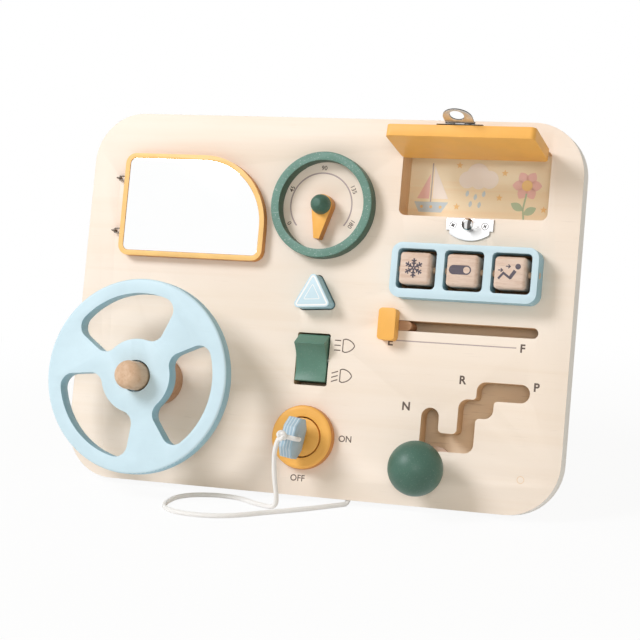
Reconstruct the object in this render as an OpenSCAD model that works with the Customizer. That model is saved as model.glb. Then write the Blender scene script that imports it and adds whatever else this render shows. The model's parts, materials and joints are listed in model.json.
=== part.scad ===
// Wooden busy board: a leaning panel with a steering wheel, a mirror door, a pointer dial, a lidded
// compartment, turning picture cubes, a hazard button, a slider, a headlamp rocker, a gear gate and
// a key switch. Millimetres. X runs across the board, Z is up, and the board faces -Y.
// Everything on the board is drawn in the panel's own plane: x across, y up the panel from its centre,
// z out of its front face. on_board() leans that plane back and sets it on its feet.

/* [Panel] */
// Width of the front panel
panel_w = 400; // [398:1:404]
// Height of the front panel
panel_h = 292; // [291:0.5:294]
// Thickness of the front panel
panel_t = 15; // [14.5:0.5:16]
// Radius of the panel's corners
panel_r = 40; // [34:1:44]
// Lean back from upright, in degrees
lean = 15; // [14:0.5:16]
// Thickness of the frame behind the panel
frame_t = 8; // [8:0.5:9]
// Thickness of the back cover
cover_t = 4; // [3.5:0.5:5]
// Width of the rails of the frame behind the panel
rail_w = 12; // [11:0.5:12.5]

/* [Feet] */
// Thickness of each foot
foot_t = 12; // [10:1:16]
// Reach of the feet behind the middle of the panel
foot_reach = 95; // [92:1:105]
// Height on the panel, from its middle, at which the feet end
foot_top = 0; // [-10:1:10]
// Gap between the panel's lower edge and the floor
floor_gap = 1.5; // [1.5:0.5:2]

/* [Steering wheel] */
// Outer diameter of the wheel
wheel_d = 149.6; // [147:0.2:149.6]
// Thickness of the wheel
wheel_t = 12; // [12:0.5:14]
// Width of the wheel's rim
wheel_rim = 11; // [10:0.1:12]
// Width of each of the three spokes at the hub
spoke_w = 18; // [16:1:20]
// Width of each spoke at the rim
spoke_rim_w = 29; // [26:1:32]
// Height of the spacer that carries the wheel
spacer_h = 35.7; // [34:0.1:37]

/* [Dial] */
// Outer diameter of the dial's ring
dial_d = 82; // [80:1:84]
// Inner diameter of the dial's ring
dial_bore = 69; // [67:1:71]
// Thickness of the dial's ring
dial_t = 11; // [10:0.5:13]
// Reach of the pointer from its axis
pointer_reach = 26.3; // [22:0.1:30]
// Diameter of the pointer's knob
peg_d = 15.4; // [14:0.2:16]

/* [Mirror door] */
// Width of the mirror's frame
mirror_w = 122.8; // [118:0.4:124]
// Height of the mirror's frame
mirror_h = 81.7; // [80:0.1:83]
// Thickness of the mirror's frame
mirror_t = 7; // [6.5:0.5:9]
// Width of the frame's band
mirror_band = 3.9; // [3.6:0.1:5]
// Diameter of the wire of the hinge loops
loop_wire = 1.3; // [1.2:0.1:1.4]

/* [Compartment] */
// Width of the compartment's opening
recess_w = 115.3; // [113:0.1:116]
// Height of the compartment's opening
recess_h = 52.3; // [51.6:0.1:52.6]
// Length of the lid from its hinge edge to its free edge
lid_l = 49; // [48:0.5:49.5]
// Thickness of the lid
lid_t = 9; // [8:0.5:10]
// Angle that the lid stands open from closed, in degrees
lid_open = 99.2; // [95:0.2:105]

/* [Latch] */
// Width of the plate on the lid
latch_w = 35; // [30:1:38]
// Width of the hasp
hasp_w = 22; // [20:0.5:24]
// Length of the hasp from its hinge
hasp_l = 19.8; // [19.5:0.1:20.5]
// Angle that the hasp stands above the lid at rest, in degrees
hasp_rest = 168; // [160:1:172]
// Diameter of the stud that the hasp goes over
stud_d = 9.2; // [8.4:0.1:9.4]

/* [Picture cubes] */
// Width of the cubes' frame
cubes_w = 113; // [112.6:0.1:113.4]
// Height of the cubes' frame
cubes_h = 41.5; // [40.5:0.5:42]
// Thickness of the cubes' frame
cubes_t = 16; // [15:0.5:18]
// Edge length of each cube
cube_a = 23.8; // [22.5:0.1:23.8]
// Diameter of the axle through the cubes
axle_d = 4.8; // [4:0.1:5.2]

/* [Hazard button] */
// How far the button stands out of the panel
hazard_out = 13; // [10:0.5:14]
// Travel of the button
hazard_travel = 5; // [3:0.5:5]

/* [Slider] */
// Height of the slider's slot
slot_h = 7.9; // [7.5:0.1:8.3]
// Travel of the slider
slide_travel = 97.5; // [90:0.5:97.5]
// Thickness of the slider's knob
slide_knob_t = 10.2; // [9:0.2:12]

/* [Headlamp rocker] */
// Width of the rocker
rocker_w = 24.6; // [23:0.2:25.4]
// Tilt of the rocker to each side, in degrees
rocker_tilt = 16; // [12:1:16]

/* [Gear gate] */
// Width of the gate's slots
gate_w = 13.7; // [13.4:0.1:14]
// Diameter of the gear lever's ball
ball_d = 41; // [38:0.5:41]
// Travel of the lever from D to N
gear_travel = 39.5; // [36:0.5:39.5]

/* [Key switch] */
// Outer diameter of the switch's ring
switch_d = 48.8; // [47:0.2:50]
// Height of the switch's ring
switch_h = 8.3; // [8:0.1:10]
// How far the key comes out
key_pull = 16; // [14:0.5:16]

/* [Cord] */
// Diameter of the key's cord
cord_d = 3.6; // [3:0.1:3.6]

/* [Hidden] */
$fn = 48;

// Clearances: pieces that are held, pieces that turn on a pin, and pieces that pass each other.
held = 0.1;
running = 0.15;
passing = 0.3;

// Colours
pale_wood = [0.95, 0.88, 0.77];
orange = [1.0, 0.79, 0.47];
sage = [0.52, 0.67, 0.61];
deep_sage = [0.33, 0.5, 0.45];
sky = [0.8, 0.91, 0.95];
raw_wood = [0.86, 0.75, 0.64];
steel = [0.75, 0.76, 0.78];
key_blue = [0.6, 0.7, 0.78];

// Places on the panel, from its centre. They are given for a panel of 400 by 292 and spread with it.
function place(across, up) = [across * panel_w / 400, up * panel_h / 292];
wheel_at = place(-124, -66.5);
dial_at = place(0, 76.8);
mirror_gap = 5.5;
mirror_at = [dial_at.x - dial_d / 2 - mirror_gap - mirror_w / 2, place(0, 71.85).y];
hazard_at = place(0.2, 8);
rocker_at = place(0.5, -41.5);
rocker_z = -3;
switch_at = place(0, -101.7);
plug_at = place(170.6, -119.5);
foot_x = place(142, 0).x;
foot_screw_ys = [-40, plug_at.y];
corner_screw_end = -22;

// The right-hand column, from the compartment down: each piece keeps its gap to the one above it
recess_at = place(117.15, 98.85);
keeper_gap = 1.1;
keeper_w = 36.3;
keeper_h = 16.6;
keeper_drop = 5.1;
keeper_at = [recess_at.x - 0.6, recess_at.y - recess_h / 2 - keeper_gap - keeper_drop];
cubes_gap = 5;
cubes_at = [place(118.6, 0).x, keeper_at.y + keeper_drop - keeper_h - cubes_gap - cubes_h / 2];
cube_pitch = 36.4;
cube_xs = [for (i = [-1 : 1]) cubes_at.x + i * cube_pitch];
cube_y = cubes_at.y + 1.05;
cube_z = 9;
slide_gap = 8;
slide_knob_h = 24.3;
slide_at = [place(60.8, 0).x, cubes_at.y - cubes_h / 2 - slide_gap - slide_knob_h / 2];
shoe_l = 26.3;
shoe_left = 9.8;

// The gate: D at the foot of the first leg, N above it, R at the top of the second, P at the far end
gate_d = place(97.9, -118);
gate_n = gate_d + [0, gear_travel];
gate_p = place(165.7, -56.7);
gate_low = place(126, -96.8);
gate_r = place(139, -70.3);
gate_runs = [[gate_d, gate_n], [[gate_d.x, gate_low.y], gate_low], [gate_low, [gate_low.x, gate_r.y]],
             [[gate_low.x, gate_r.y], gate_r], [gate_r, [gate_r.x, gate_p.y]],
             [[gate_r.x, gate_p.y], gate_p]];
gate_half = gate_w / 2;
gate_round = 3.5;
step_round = 3;
fillet_lap = 0.5;
gate_corners = [[gate_d + [gate_half, gate_low.y - gate_d.y + gate_half], [1, 1], gate_round],
                [gate_low + [-gate_half, gate_half], [-1, 1], gate_round],
                [gate_d + [gate_half, gate_low.y - gate_d.y - gate_half], [1, -1], gate_round],
                [[gate_low.x + gate_half, gate_r.y - gate_half], [1, -1], step_round],
                [gate_r + [-gate_half, gate_half], [-1, 1], step_round],
                [[gate_r.x + gate_half, gate_p.y - gate_half], [1, -1], step_round]];
ball_z = 26.6;

// Layers behind the panel
panel_back = -panel_t;
frame_back = panel_back - frame_t;
cover_back = frame_back - cover_t;
rear_inset = 3;
plate_t = 3;
behind = panel_back - passing;

// The panel's centre in the world, so that the lower back edge floats over the floor and the whole
// stands centred on the origin.
board_z = panel_h / 2 * cos(lean) + panel_t * sin(lean) + floor_gap;
wheel_front_z = spacer_h + passing + wheel_t;
wheel_edge = 2;
front_y = (wheel_at.y - wheel_d / 2 + wheel_edge) * sin(lean)
    - (wheel_front_z - wheel_edge) * cos(lean) - wheel_edge;
board_y = -(front_y + foot_reach) / 2;

module on_board() translate([0, board_y, board_z]) rotate([90 - lean, 0, 0]) children();
module at(p, z = 0) translate([p.x, p.y, z]) children();
module layer(front, back) translate([0, 0, back]) linear_extrude(front - back) children();
module rod(d, front, back) translate([0, 0, back]) cylinder(d = d, h = front - back);
module across(x0, x1) translate([x0, 0, 0]) rotate([90, 0, 90]) linear_extrude(x1 - x0) children();
module ring(outer, inner) difference() {
    circle(d = outer);
    circle(d = inner);
}

// A rectangle with true round corners
module rounded(w, h, r) {
    square([w - 2 * r, h], center = true);
    square([w, h - 2 * r], center = true);
    for (x = [-1, 1], y = [-1, 1])
        translate([x * (w / 2 - r), y * (h / 2 - r)]) circle(r);
}

// A slot with round ends from p to q
module slot(p, q, w) {
    translate(p) circle(d = w);
    translate(q) circle(d = w);
    translate(p) rotate(atan2(q.y - p.y, q.x - p.x)) translate([0, -w / 2]) square([norm(q - p), w]);
}

// A pie slice to each side of the direction +Y
module slice(r, half) polygon([[0, 0], [-r * tan(half), r], [r * tan(half), r]]);

// A polygon whose corners lie on circles of radius r round the points, listed counter-clockwise
function outward(p, q) = [q.y - p.y, p.x - q.x] / norm(q - p);
module rounded_polygon(points, r) {
    last = len(points) - 1;
    polygon([for (i = [0 : last], side = [0, 1])
        let (p = points[i], near = points[(i + (side == 0 ? last : 1)) % (last + 1)])
        p + r * (side == 0 ? outward(near, p) : outward(p, near))]);
    for (p = points)
        translate(p) circle(r);
}

// A half profile for rotate_extrude: radius r, height h, its front edge rounded by e
module domed(r, h, e) intersection() {
    square([r, h]);
    union() {
        square([r - e, h]);
        square([r, h - e]);
        translate([r - e, h - e]) circle(e);
    }
}

// The same with both edges rounded
module domed_both(r, h, e) intersection() {
    square([r, h]);
    union() {
        square([r - e, h]);
        translate([0, e]) square([r, h - 2 * e]);
        for (z = [e, h - e])
            translate([r - e, z]) circle(e);
    }
}

// --- Board and stand ---

hub_shank = 14;
hub_hole = hub_shank + 2 * held;
peg_shank = 8;
barrel_d = 29.4;
barrel_gap = 0.9;
barrel_hole = barrel_d + 2 * barrel_gap;
window = 30.2;
window_r = 3.5;
hazard_points = [[-10.6, -8.5], [11.2, -7], [0, 11.7]];
hazard_r = 3;
rocker_hole = [26.6, 40.2];
shoe_x = slide_at.x - shoe_left;
slide_end = shoe_x + shoe_l + slide_travel + passing;
slide_y = slide_at.y + 0.2;
plug_d = 5;
screw_d = 3.4;
pin_d = 4;
pin_reach = 7.5;
keeper_screw_at = [for (side = [-1, 1]) keeper_at + [side * 12.4 - 0.65, -0.2]];
keeper_screw_d = 2.6;
stud_core = 3;
eye_heights = [for (y = [20.85, -21.45]) mirror_at.y + y];
eye_shank = 1.6;
hinge_xs = [for (x = [-32, 29]) recess_at.x + x];
cord_bore = 4.8;

module recess_shape(grow = 0) at(recess_at) rounded(recess_w + 2 * grow, recess_h + 2 * grow, 5 + grow);
module hazard_shape(grow = 0) at(hazard_at) rounded_polygon(hazard_points, hazard_r + grow);

// The gate's runs, with the corners of wood between them rounded
module gate_shape() {
    for (run = gate_runs)
        slot(run[0], run[1], gate_w);
    for (corner = gate_corners)
        translate(corner[0]) fillet(corner[1], corner[2]);
}

// What a round of radius r takes off a corner of wood that lies towards into
module fillet(into, r) difference() {
    translate((r - fillet_lap) / 2 * into) square(r + fillet_lap, center = true);
    translate(r * into) circle(r);
}
module slide_shape()
    slot([shoe_x - passing + slot_h / 2, slide_y], [slide_end - slot_h / 2, slide_y], slot_h);

module panel_openings() {
    recess_shape();
    hazard_shape(0.8);
    gate_shape();
    slide_shape();
    at(rocker_at) rounded(rocker_hole.x, rocker_hole.y, 1.5);
    for (x = cube_xs)
        translate([x, cube_y]) rounded(window, window, window_r);
    at(switch_at) circle(d = barrel_hole);
    at(wheel_at) circle(d = hub_hole);
    at(dial_at) circle(d = peg_shank + 2 * running);
}

module front_panel() color(pale_wood) difference() {
    on_board() difference() {
        layer(0, panel_back) rounded(panel_w, panel_h, panel_r);
        layer(1, panel_back - 1) panel_openings();
        for (side = [-1, 1])
            at([side * plug_at.x, plug_at.y]) {
                rod(plug_d, 1, -9);
                rod(screw_d + 2 * held, 0, panel_back - 1);
            }
        for (p = keeper_screw_at)
            at(p) rod(keeper_screw_d + 2 * held, 1, -10.5);
        at(keeper_at) rod(stud_core + 2 * held, 1, -10.5);
        for (y = eye_heights)
            translate([mirror_axis.x, y, 0]) rod(eye_shank + 2 * held, 1, -8.5);
        translate([rocker_at.x, rocker_at.y, 0])
            translate([-rocker_hole.x / 2 - pin_reach - passing, -pin_d / 2 - held, panel_back - 1])
            cube([rocker_hole.x + 2 * (pin_reach + passing), pin_d + 2 * held, rocker_z - panel_back + 1]);
        translate([rocker_at.x - rocker_hole.x / 2 - pin_reach - passing, rocker_at.y, rocker_z])
            rotate([0, 90, 0]) cylinder(d = pin_d + 2 * held, h = rocker_hole.x + 2 * (pin_reach + passing));
    }
    cord_hole();
}

// Straight bore for the cord's fixed end, along the cord's last stretch
module cord_hole() {
    mouth = bore_mouth;
    aim = bore_end - bore_mouth;
    turn = atan2(norm([aim.x, aim.y]), aim.z);
    translate([0, board_y, 0]) translate(mouth) rotate([0, 0, atan2(aim.y, aim.x)]) rotate([0, turn, 0])
        translate([0, 0, -2]) cylinder(d = cord_bore, h = norm(aim) + 3);
}

module rear_outline() rounded(panel_w - 2 * rear_inset, panel_h - 2 * rear_inset, panel_r - rear_inset);

gusset = [30, 26];
frame_corner = 8;
liner_t = 5;
disc_d = 37.4;
retainer_d = 38;

module rear_frame() color(raw_wood) on_board() difference() {
    layer(panel_back, frame_back) difference() {
        rear_outline();
        difference() {
            rounded(panel_w - 2 * (rear_inset + rail_w), panel_h - 2 * (rear_inset + rail_w), frame_corner);
            for (side = [-1, 1])
                translate([side * (plug_at.x + 3), plug_at.y]) square(gusset, center = true);
        }
        translate(gate_d) circle(d = disc_d + 1.6);
        translate(switch_at) circle(d = retainer_d + 1.6);
        recess_shape(liner_t + passing);
    }
    for (side = [-1, 1])
        at([side * plug_at.x, plug_at.y]) rod(screw_d + 2 * held, 0, corner_screw_end - 0.5);
    for (p = cover_screw_at)
        at(p) rod(cover_screw_d + 2 * held, frame_back + 6.5, frame_back - 1);
}

cover_screw_d = 3;
cover_screw_x = panel_w / 2 - rear_inset - rail_w / 2;
cover_screw_y = panel_h / 2 - rear_inset - rail_w / 2;
cover_screw_at = [for (x = [-1, 1], y = [-1, 1]) each
    [[x * cover_screw_x, y * panel_h / 5], [x * panel_w / 7, y * cover_screw_y]]];
card_t = 0.8;
card_gap = 0.15;

module back_cover() color(raw_wood) on_board() difference() {
    layer(frame_back, cover_back) rear_outline();
    for (p = cover_screw_at)
        at(p) {
            rod(cover_screw_d + 2 * held, 0, cover_back - 1);
            translate([0, 0, cover_back - 0.01]) cylinder(d1 = 6.22, d2 = cover_screw_d + 2 * held, h = 1.6);
        }
    for (side = [-1, 1])
        for (y = foot_screw_ys)
            at([side * foot_x, y]) rod(screw_d + 2 * held, 0, cover_back - 1);
    layer(frame_back + 1, frame_back - card_t) recess_shape(4 + card_gap);
}

module cover_screws() color(steel) on_board() for (p = cover_screw_at)
    at(p) {
        rod(cover_screw_d, frame_back + 6, cover_back + 1);
        translate([0, 0, cover_back]) cylinder(d1 = 6, d2 = cover_screw_d, h = 1.5);
    }

foot_screw_in = 20;
foot_toe = 8;
foot_heel = 12;
foot_arc = 160;
foot_low = -panel_h / 2 + rear_inset + 4;
function world_y(y, z) = y * sin(lean) - z * cos(lean);
function world_z(y, z) = board_z + y * cos(lean) + z * sin(lean);
function seen_side(y, z) = [world_y(y, z), world_z(y, z)];
foot_peak = seen_side(foot_top, cover_back - 10);
foot_heel_top = [foot_reach, foot_heel];
foot_chord = foot_peak - foot_heel_top;
foot_arc_rise = sqrt(foot_arc * foot_arc - foot_chord * foot_chord / 4);
foot_arc_at = (foot_peak + foot_heel_top) / 2
    + [foot_chord.y, -foot_chord.x] / norm(foot_chord) * foot_arc_rise;

module foot(side) color(pale_wood) difference() {
    translate([0, board_y, 0]) across(side * foot_x - foot_t / 2, side * foot_x + foot_t / 2) difference() {
        polygon([seen_side(foot_low, cover_back), [-foot_toe, 0], [foot_reach, 0], foot_heel_top, foot_peak,
                 seen_side(foot_top, cover_back)]);
        translate(foot_arc_at) circle(foot_arc, $fn = 96);
    }
    on_board() for (y = foot_screw_ys)
        at([side * foot_x, y]) rod(screw_d + 2 * held, 0, cover_back - foot_screw_in - 0.5);
}
module left_foot() foot(-1);
module right_foot() foot(1);

// Driven into the feet from inside, before the panel goes on
module foot_screws() color(steel) on_board() for (side = [-1, 1], y = foot_screw_ys)
    at([side * foot_x, y]) {
        rod(8, frame_back + 2, frame_back);
        rod(screw_d, frame_back + 2, cover_back - foot_screw_in);
    }

// These hold the panel's lower corners to the frame, under the plugs
module panel_screws() color(steel) on_board() for (side = [-1, 1])
    at([side * plug_at.x, plug_at.y]) {
        rod(plug_d - 0.2, -5.2, -9);
        rod(screw_d, -5.2, corner_screw_end);
    }

module foot_plugs() color(raw_wood) on_board() for (side = [-1, 1])
    at([side * plug_at.x, plug_at.y]) rod(plug_d - 0.1, 0, -5.1);

// --- Steering wheel: it turns on a fixed peg that passes through the spacer into the panel ---

spacer_d = 37.5;
peg_head = 22;
peg_hole = 24.6;
peg_seat = 5;
peg_top = 67;
kidney_r = 10;
hub_r = 28.5;
kidney_outer = wheel_d / 2 - wheel_rim - kidney_r;
kidney_inner = hub_r + kidney_r;
function beside_spoke(radius, width) = 60 - asin((width / 2 + kidney_r) / radius);
function polar(radius, angle) = radius * [sin(angle), cos(angle)];
spoke_turn = 15;

module kidney() {
    far = beside_spoke(kidney_outer, spoke_rim_w);
    near = beside_spoke(kidney_inner, spoke_w);
    for (side = [-1, 1])
        slot(polar(kidney_inner, side * near), polar(kidney_outer, side * far), 2 * kidney_r);
    intersection() {
        ring(wheel_d - 2 * wheel_rim, 2 * kidney_inner);
        slice(wheel_d, far);
    }
    intersection() {
        ring(wheel_d - 2 * wheel_rim, 2 * hub_r);
        slice(wheel_d, near);
    }
}

module steering_wheel() color(sky) on_board() at(wheel_at, spacer_h + passing) difference() {
    rotate_extrude($fn = 96) domed_both(wheel_d / 2, wheel_t, wheel_edge);
    for (turn = [0 : 120 : 240])
        translate([0, 0, -1]) linear_extrude(wheel_t + 2) rotate(spoke_turn + turn) kidney();
    translate([0, 0, -1]) cylinder(d = hub_shank + 2 * running, h = wheel_t + 2);
    translate([0, 0, peg_seat]) cylinder(d = peg_hole, h = wheel_t);
}

module hub_spacer() color(raw_wood) on_board() at(wheel_at) difference() {
    rod(spacer_d, spacer_h, 0);
    rod(hub_hole, spacer_h + 1, -1);
}

module hub_peg() color(raw_wood) on_board() at(wheel_at) {
    seat = spacer_h + passing + peg_seat + passing;
    rod(hub_shank, seat + 1, panel_back);
    translate([0, 0, seat]) rotate_extrude() domed(peg_head / 2, peg_top - seat, 7);
}

// --- Dial ---

pointer_head = 16.5;
pointer_back = 0.4;
pointer_front = 9;
peg_out = 20.5;
peg_flank = 13.9;
peg_foot = 1;
pointer_turn = -4.4;
dial_edge = 1;

module dial_ring() color(sage) on_board() at(dial_at) rotate_extrude($fn = 96) difference() {
    domed(dial_d / 2, dial_t, dial_edge);
    translate([-1, -1]) square([dial_bore / 2 + 1, dial_t + 2]);
}

module pointer() color(orange) on_board() at(dial_at) rotate(pointer_turn)
    layer(pointer_front, pointer_back) difference() {
    pointer_outline();
    circle(d = peg_shank + 2 * held);
}

// A drop: the head's circle and its two tangents to a narrow flat tip
module pointer_outline() {
    tip = 2.25;
    lie = acos((pointer_head / 2 - tip) / pointer_reach);
    side = pointer_head / 2 * [sin(lie), -cos(lie)];
    circle(d = pointer_head);
    polygon([side, [-side.x, side.y], [-tip, -pointer_reach], [tip, -pointer_reach]]);
}

module pointer_peg() color(deep_sage) on_board() at(dial_at) {
    rod(peg_shank, pointer_front + 1, panel_back - passing - plate_t);
    translate([0, 0, pointer_front]) rotate_extrude() intersection() {
        square([peg_d / 2, peg_out - pointer_front]);
        translate([peg_d / 2 - peg_flank, peg_foot]) circle(peg_flank, $fn = 96);
    }
}

module pointer_washer() color(raw_wood) on_board() at(dial_at)
    layer(behind, behind - plate_t) ring(18, peg_shank + 2 * held);

// --- Mirror door: wire loops on its frame swing in wire eyes on the panel ---

mirror_lift = 0.3;
mirror_corner = 8.5;
mirror_sweep = 55;
mirror_axis_z = mirror_lift + mirror_t / 2;
loop_gap = 3.4;
loop_bend = 1.1;
loop_out = 6.9;
loop_held = 3.2;
mirror_seat = 3;
mirror_plate_t = mirror_t - mirror_seat - 0.4;
mirror_left = mirror_at.x - mirror_w / 2;
mirror_axis = [mirror_left - loop_out + loop_wire / 2, 0];
eye_wire = 1.2;
eye_r = 1.9;
plate_gap = 0.15;

// Three small corners and one wide one at the upper right
module mirror_outline(inset = 0) {
    w = mirror_w - 2 * inset;
    h = mirror_h - 2 * inset;
    wide = mirror_sweep - inset;
    intersection() {
        rounded(w, h, mirror_corner - inset);
        union() {
            translate([-w / 2, -h / 2]) square([w - wide, h]);
            translate([-w / 2, -h / 2]) square([w, h - wide]);
            translate([w / 2 - wide, h / 2 - wide]) circle(wide, $fn = 96);
        }
    }
}

module mirror_frame() color(orange) on_board() at(mirror_at, mirror_lift) difference() {
    linear_extrude(mirror_t) mirror_outline();
    translate([0, 0, mirror_seat]) linear_extrude(mirror_t) mirror_outline(mirror_band);
    for (y = eye_heights, side = [-1, 1])
        translate([-mirror_w / 2 - 1, y - mirror_at.y + side * loop_gap / 2, mirror_t / 2])
            rotate([0, 90, 0]) cylinder(d = loop_wire + 0.1, h = loop_held + 1.2);
}

module mirror_plate() color([0.93, 0.95, 0.96]) on_board() at(mirror_at, mirror_lift + mirror_seat)
    linear_extrude(mirror_plate_t) mirror_outline(mirror_band + plate_gap);

// Each loop: a straight stretch of wire on the hinge's axis, two bends and two legs into the frame
module mirror_frame_loops() color(steel) on_board() for (y = eye_heights)
    translate([mirror_axis.x, y, mirror_axis_z]) {
        straight = loop_gap - 2 * loop_bend;
        rotate([90, 0, 0]) cylinder(d = loop_wire, h = straight, center = true, $fn = 24);
        for (side = [-1, 1]) {
            translate([loop_bend, side * straight / 2, 0]) rotate(side < 0 ? 180 : 90)
                rotate_extrude(angle = 90) translate([loop_bend, 0]) circle(d = loop_wire, $fn = 24);
            translate([loop_bend, side * loop_gap / 2, 0]) rotate([0, 90, 0])
                cylinder(d = loop_wire, h = mirror_left + loop_held - mirror_axis.x - loop_bend, $fn = 24);
        }
    }

module mirror_panel_eyes() color(steel) on_board() for (y = eye_heights)
    translate([mirror_axis.x, y, 0]) {
        translate([0, 0, mirror_axis_z]) rotate([90, 0, 0])
            rotate_extrude() translate([eye_r, 0]) circle(d = eye_wire, $fn = 24);
        rod(eye_shank, mirror_axis_z - eye_r, -8);
    }

// --- Compartment and its lid. The lid is drawn closed and turned open about its hinge ---

lid_side = 1.2;
lid_w = recess_w - 2 * lid_side;
lid_top = recess_at.y + recess_h / 2 - 0.4;
lid_bottom = lid_top - lid_l;
hinge_at = [lid_top + 1.4, 1.5];
leaf_l = 12;
leaf_t = 0.9;
knuckle_r = 1.4;
hinge_w = 22;
hinge_pin = 1.2;

module opened() translate([0, hinge_at[0], hinge_at[1]]) rotate([-lid_open, 0, 0])
    translate([0, -hinge_at[0], -hinge_at[1]]) children();

module compartment_liner() color(raw_wood) on_board() layer(panel_back, frame_back) difference() {
    recess_shape(liner_t);
    recess_shape();
}

module compartment_card() color([0.93, 0.87, 0.8]) on_board()
    layer(frame_back, frame_back - card_t) recess_shape(4);

module lid_board() color(orange) on_board() opened() at([recess_at.x, 0]) difference() {
    layer(0, -lid_t) lid_outline();
    translate([0, hasp_y, 0]) across(-latch_w / 2, latch_w / 2) circle(0.9);
}

lid_r = 4;
module lid_outline() translate([0, lid_bottom + lid_l / 2]) rounded(lid_w, lid_l, lid_r);

// One segment of a hinge's barrel along x, at height y and depth z
module knuckle(x, w, y, z, r, bore) translate([0, y, z]) across(x - w / 2, x + w / 2) ring(2 * r, bore);

knuckle_w = hinge_w / 3 - 0.15;

module lid_hinge_leaves() color(steel) on_board() opened() for (x = hinge_xs) {
    knuckle(x, knuckle_w, hinge_at[0], hinge_at[1], knuckle_r, hinge_pin + 0.2);
    across(x - hinge_w / 2, x + hinge_w / 2)
        translate([lid_top - leaf_l, 0]) square([hinge_at[0] - 1.8 - lid_top + leaf_l, leaf_t]);
    across(x - knuckle_w / 2, x + knuckle_w / 2)
        translate([lid_top - 4, 0]) square([hinge_at[0] - 0.9 - lid_top + 4, leaf_t]);
}

module panel_hinge_leaves() color(steel) on_board() for (x = hinge_xs) {
    for (side = [-1, 1]) {
        end = x + side * (hinge_w - knuckle_w) / 2;
        knuckle(end, knuckle_w, hinge_at[0], hinge_at[1], knuckle_r, hinge_pin + 0.06);
        across(end - knuckle_w / 2, end + knuckle_w / 2)
            translate([hinge_at[0] + 0.9, 0]) square([3, leaf_t]);
    }
    across(x - hinge_w / 2, x + hinge_w / 2) translate([hinge_at[0] + 2.6, 0]) square([leaf_l - 2.6, leaf_t]);
}

module lid_hinge_pins() color(steel) on_board() for (x = hinge_xs)
    translate([0, hinge_at[0], hinge_at[1]]) across(x - hinge_w / 2, x + hinge_w / 2) circle(d = hinge_pin);

// --- Latch: a hasp on the lid that folds over a stud on the panel ---

hasp_y = lid_bottom + 1.9;
hasp_z = 1.9;
hasp_t = 1;
hasp_third = hasp_w / 3 - 0.2;
latch_t = 1;
keeper_t = 1.2;
keeper_top = keeper_at.y + keeper_drop;
keeper_low = keeper_top - keeper_h;
keeper_side = keeper_low + 7;
latch_l = 14;
keeper_arc = (keeper_w * keeper_w / 4 + pow(keeper_side - keeper_low, 2)) / 2 / (keeper_side - keeper_low);
stud_h = 10;
hasp_slot_w = stud_d + 1.4;
hasp_band = 2.3;

module on_lid() on_board() opened() at([keeper_at.x, 0]) children();

module latch_plate() color(steel) on_lid() {
    difference() {
        across(-latch_w / 2, latch_w / 2) translate([lid_bottom + 0.4, 0]) square([latch_l, latch_t]);
        translate([0, hasp_y, hasp_z])
            across(-hasp_third / 2 - passing, hasp_third / 2 + passing) circle(knuckle_r + passing);
    }
    for (side = [-1, 1])
        knuckle(side * (hasp_w - hasp_third) / 2, hasp_third, hasp_y, hasp_z, knuckle_r, hinge_pin + 0.06);
}

module hasp_pin() color(steel) on_lid() translate([0, hasp_y, hasp_z])
    across(-hasp_w / 2, hasp_w / 2) circle(d = hinge_pin);

// Drawn over the stud, then folded back
module hasp() color(steel) on_lid() translate([0, hasp_y, hasp_z]) rotate([-(180 - hasp_rest), 0, 0]) {
    translate([0, 0, -hasp_t / 2]) linear_extrude(hasp_t) difference() {
        hasp_outline();
        slot([0, -11], [0, hasp_band + hasp_slot_w / 2 - hasp_l], hasp_slot_w);
    }
    knuckle(0, hasp_third, 0, 0, knuckle_r, hinge_pin + 0.2);
}

// Round at its free end, with a tongue to its knuckle
module hasp_outline() {
    intersection() {
        slot([0, -hasp_l + hasp_w / 2], [0, 0], hasp_w);
        translate([-hasp_w / 2, -hasp_l]) square([hasp_w, hasp_l - 1.8]);
    }
    translate([-hasp_third / 2, -4]) square([hasp_third, 4 - 0.9]);
}

module keeper_plate() color(steel) on_board() difference() {
    layer(keeper_t, 0) intersection() {
        translate([keeper_at.x - keeper_w / 2, keeper_low]) square([keeper_w, keeper_top - keeper_low]);
        translate([keeper_at.x, keeper_low + keeper_arc]) circle(keeper_arc);
    }
    at(keeper_at) rod(stud_core + 2 * held, 2, -1);
    for (p = keeper_screw_at)
        at(p, -0.01) cylinder(d1 = keeper_screw_d + 2 * held, d2 = 5.1, h = keeper_t + 0.02);
}

module keeper_stud() color(steel) on_board() at(keeper_at) {
    rod(stud_core, keeper_t + 1, -10);
    translate([0, 0, keeper_t]) rotate_extrude() domed(stud_d / 2, stud_h - keeper_t, 2.2);
}

module keeper_screws() color(steel) on_board() for (p = keeper_screw_at)
    at(p) difference() {
        union() {
            rod(keeper_screw_d, keeper_t, -10);
            cylinder(d1 = keeper_screw_d, d2 = 4.8, h = keeper_t);
        }
        for (turn = [0, 90])
            rotate(turn) translate([-1.2, -0.25, keeper_t - 0.6]) cube([2.4, 0.5, 2]);
    }

// --- Picture cubes on an axle ---

cube_r = 5;
axle_end = cubes_at.x + cubes_w / 2;
axle_start = axle_end - cubes_w + 5;

module cube_frame() color(sky) on_board() difference() {
    layer(cubes_t, 0) difference() {
        at(cubes_at) rounded(cubes_w, cubes_h, 8);
        for (x = cube_xs)
            translate([x, cube_y]) rounded(window, window, window_r);
    }
    translate([0, cube_y, cube_z]) across(axle_start - 0.5, axle_end + 1) circle(d = axle_d + 2 * held);
}

module cube_axle() color(raw_wood) on_board() translate([0, cube_y, cube_z])
    across(axle_start, axle_end) circle(d = axle_d);

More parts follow.
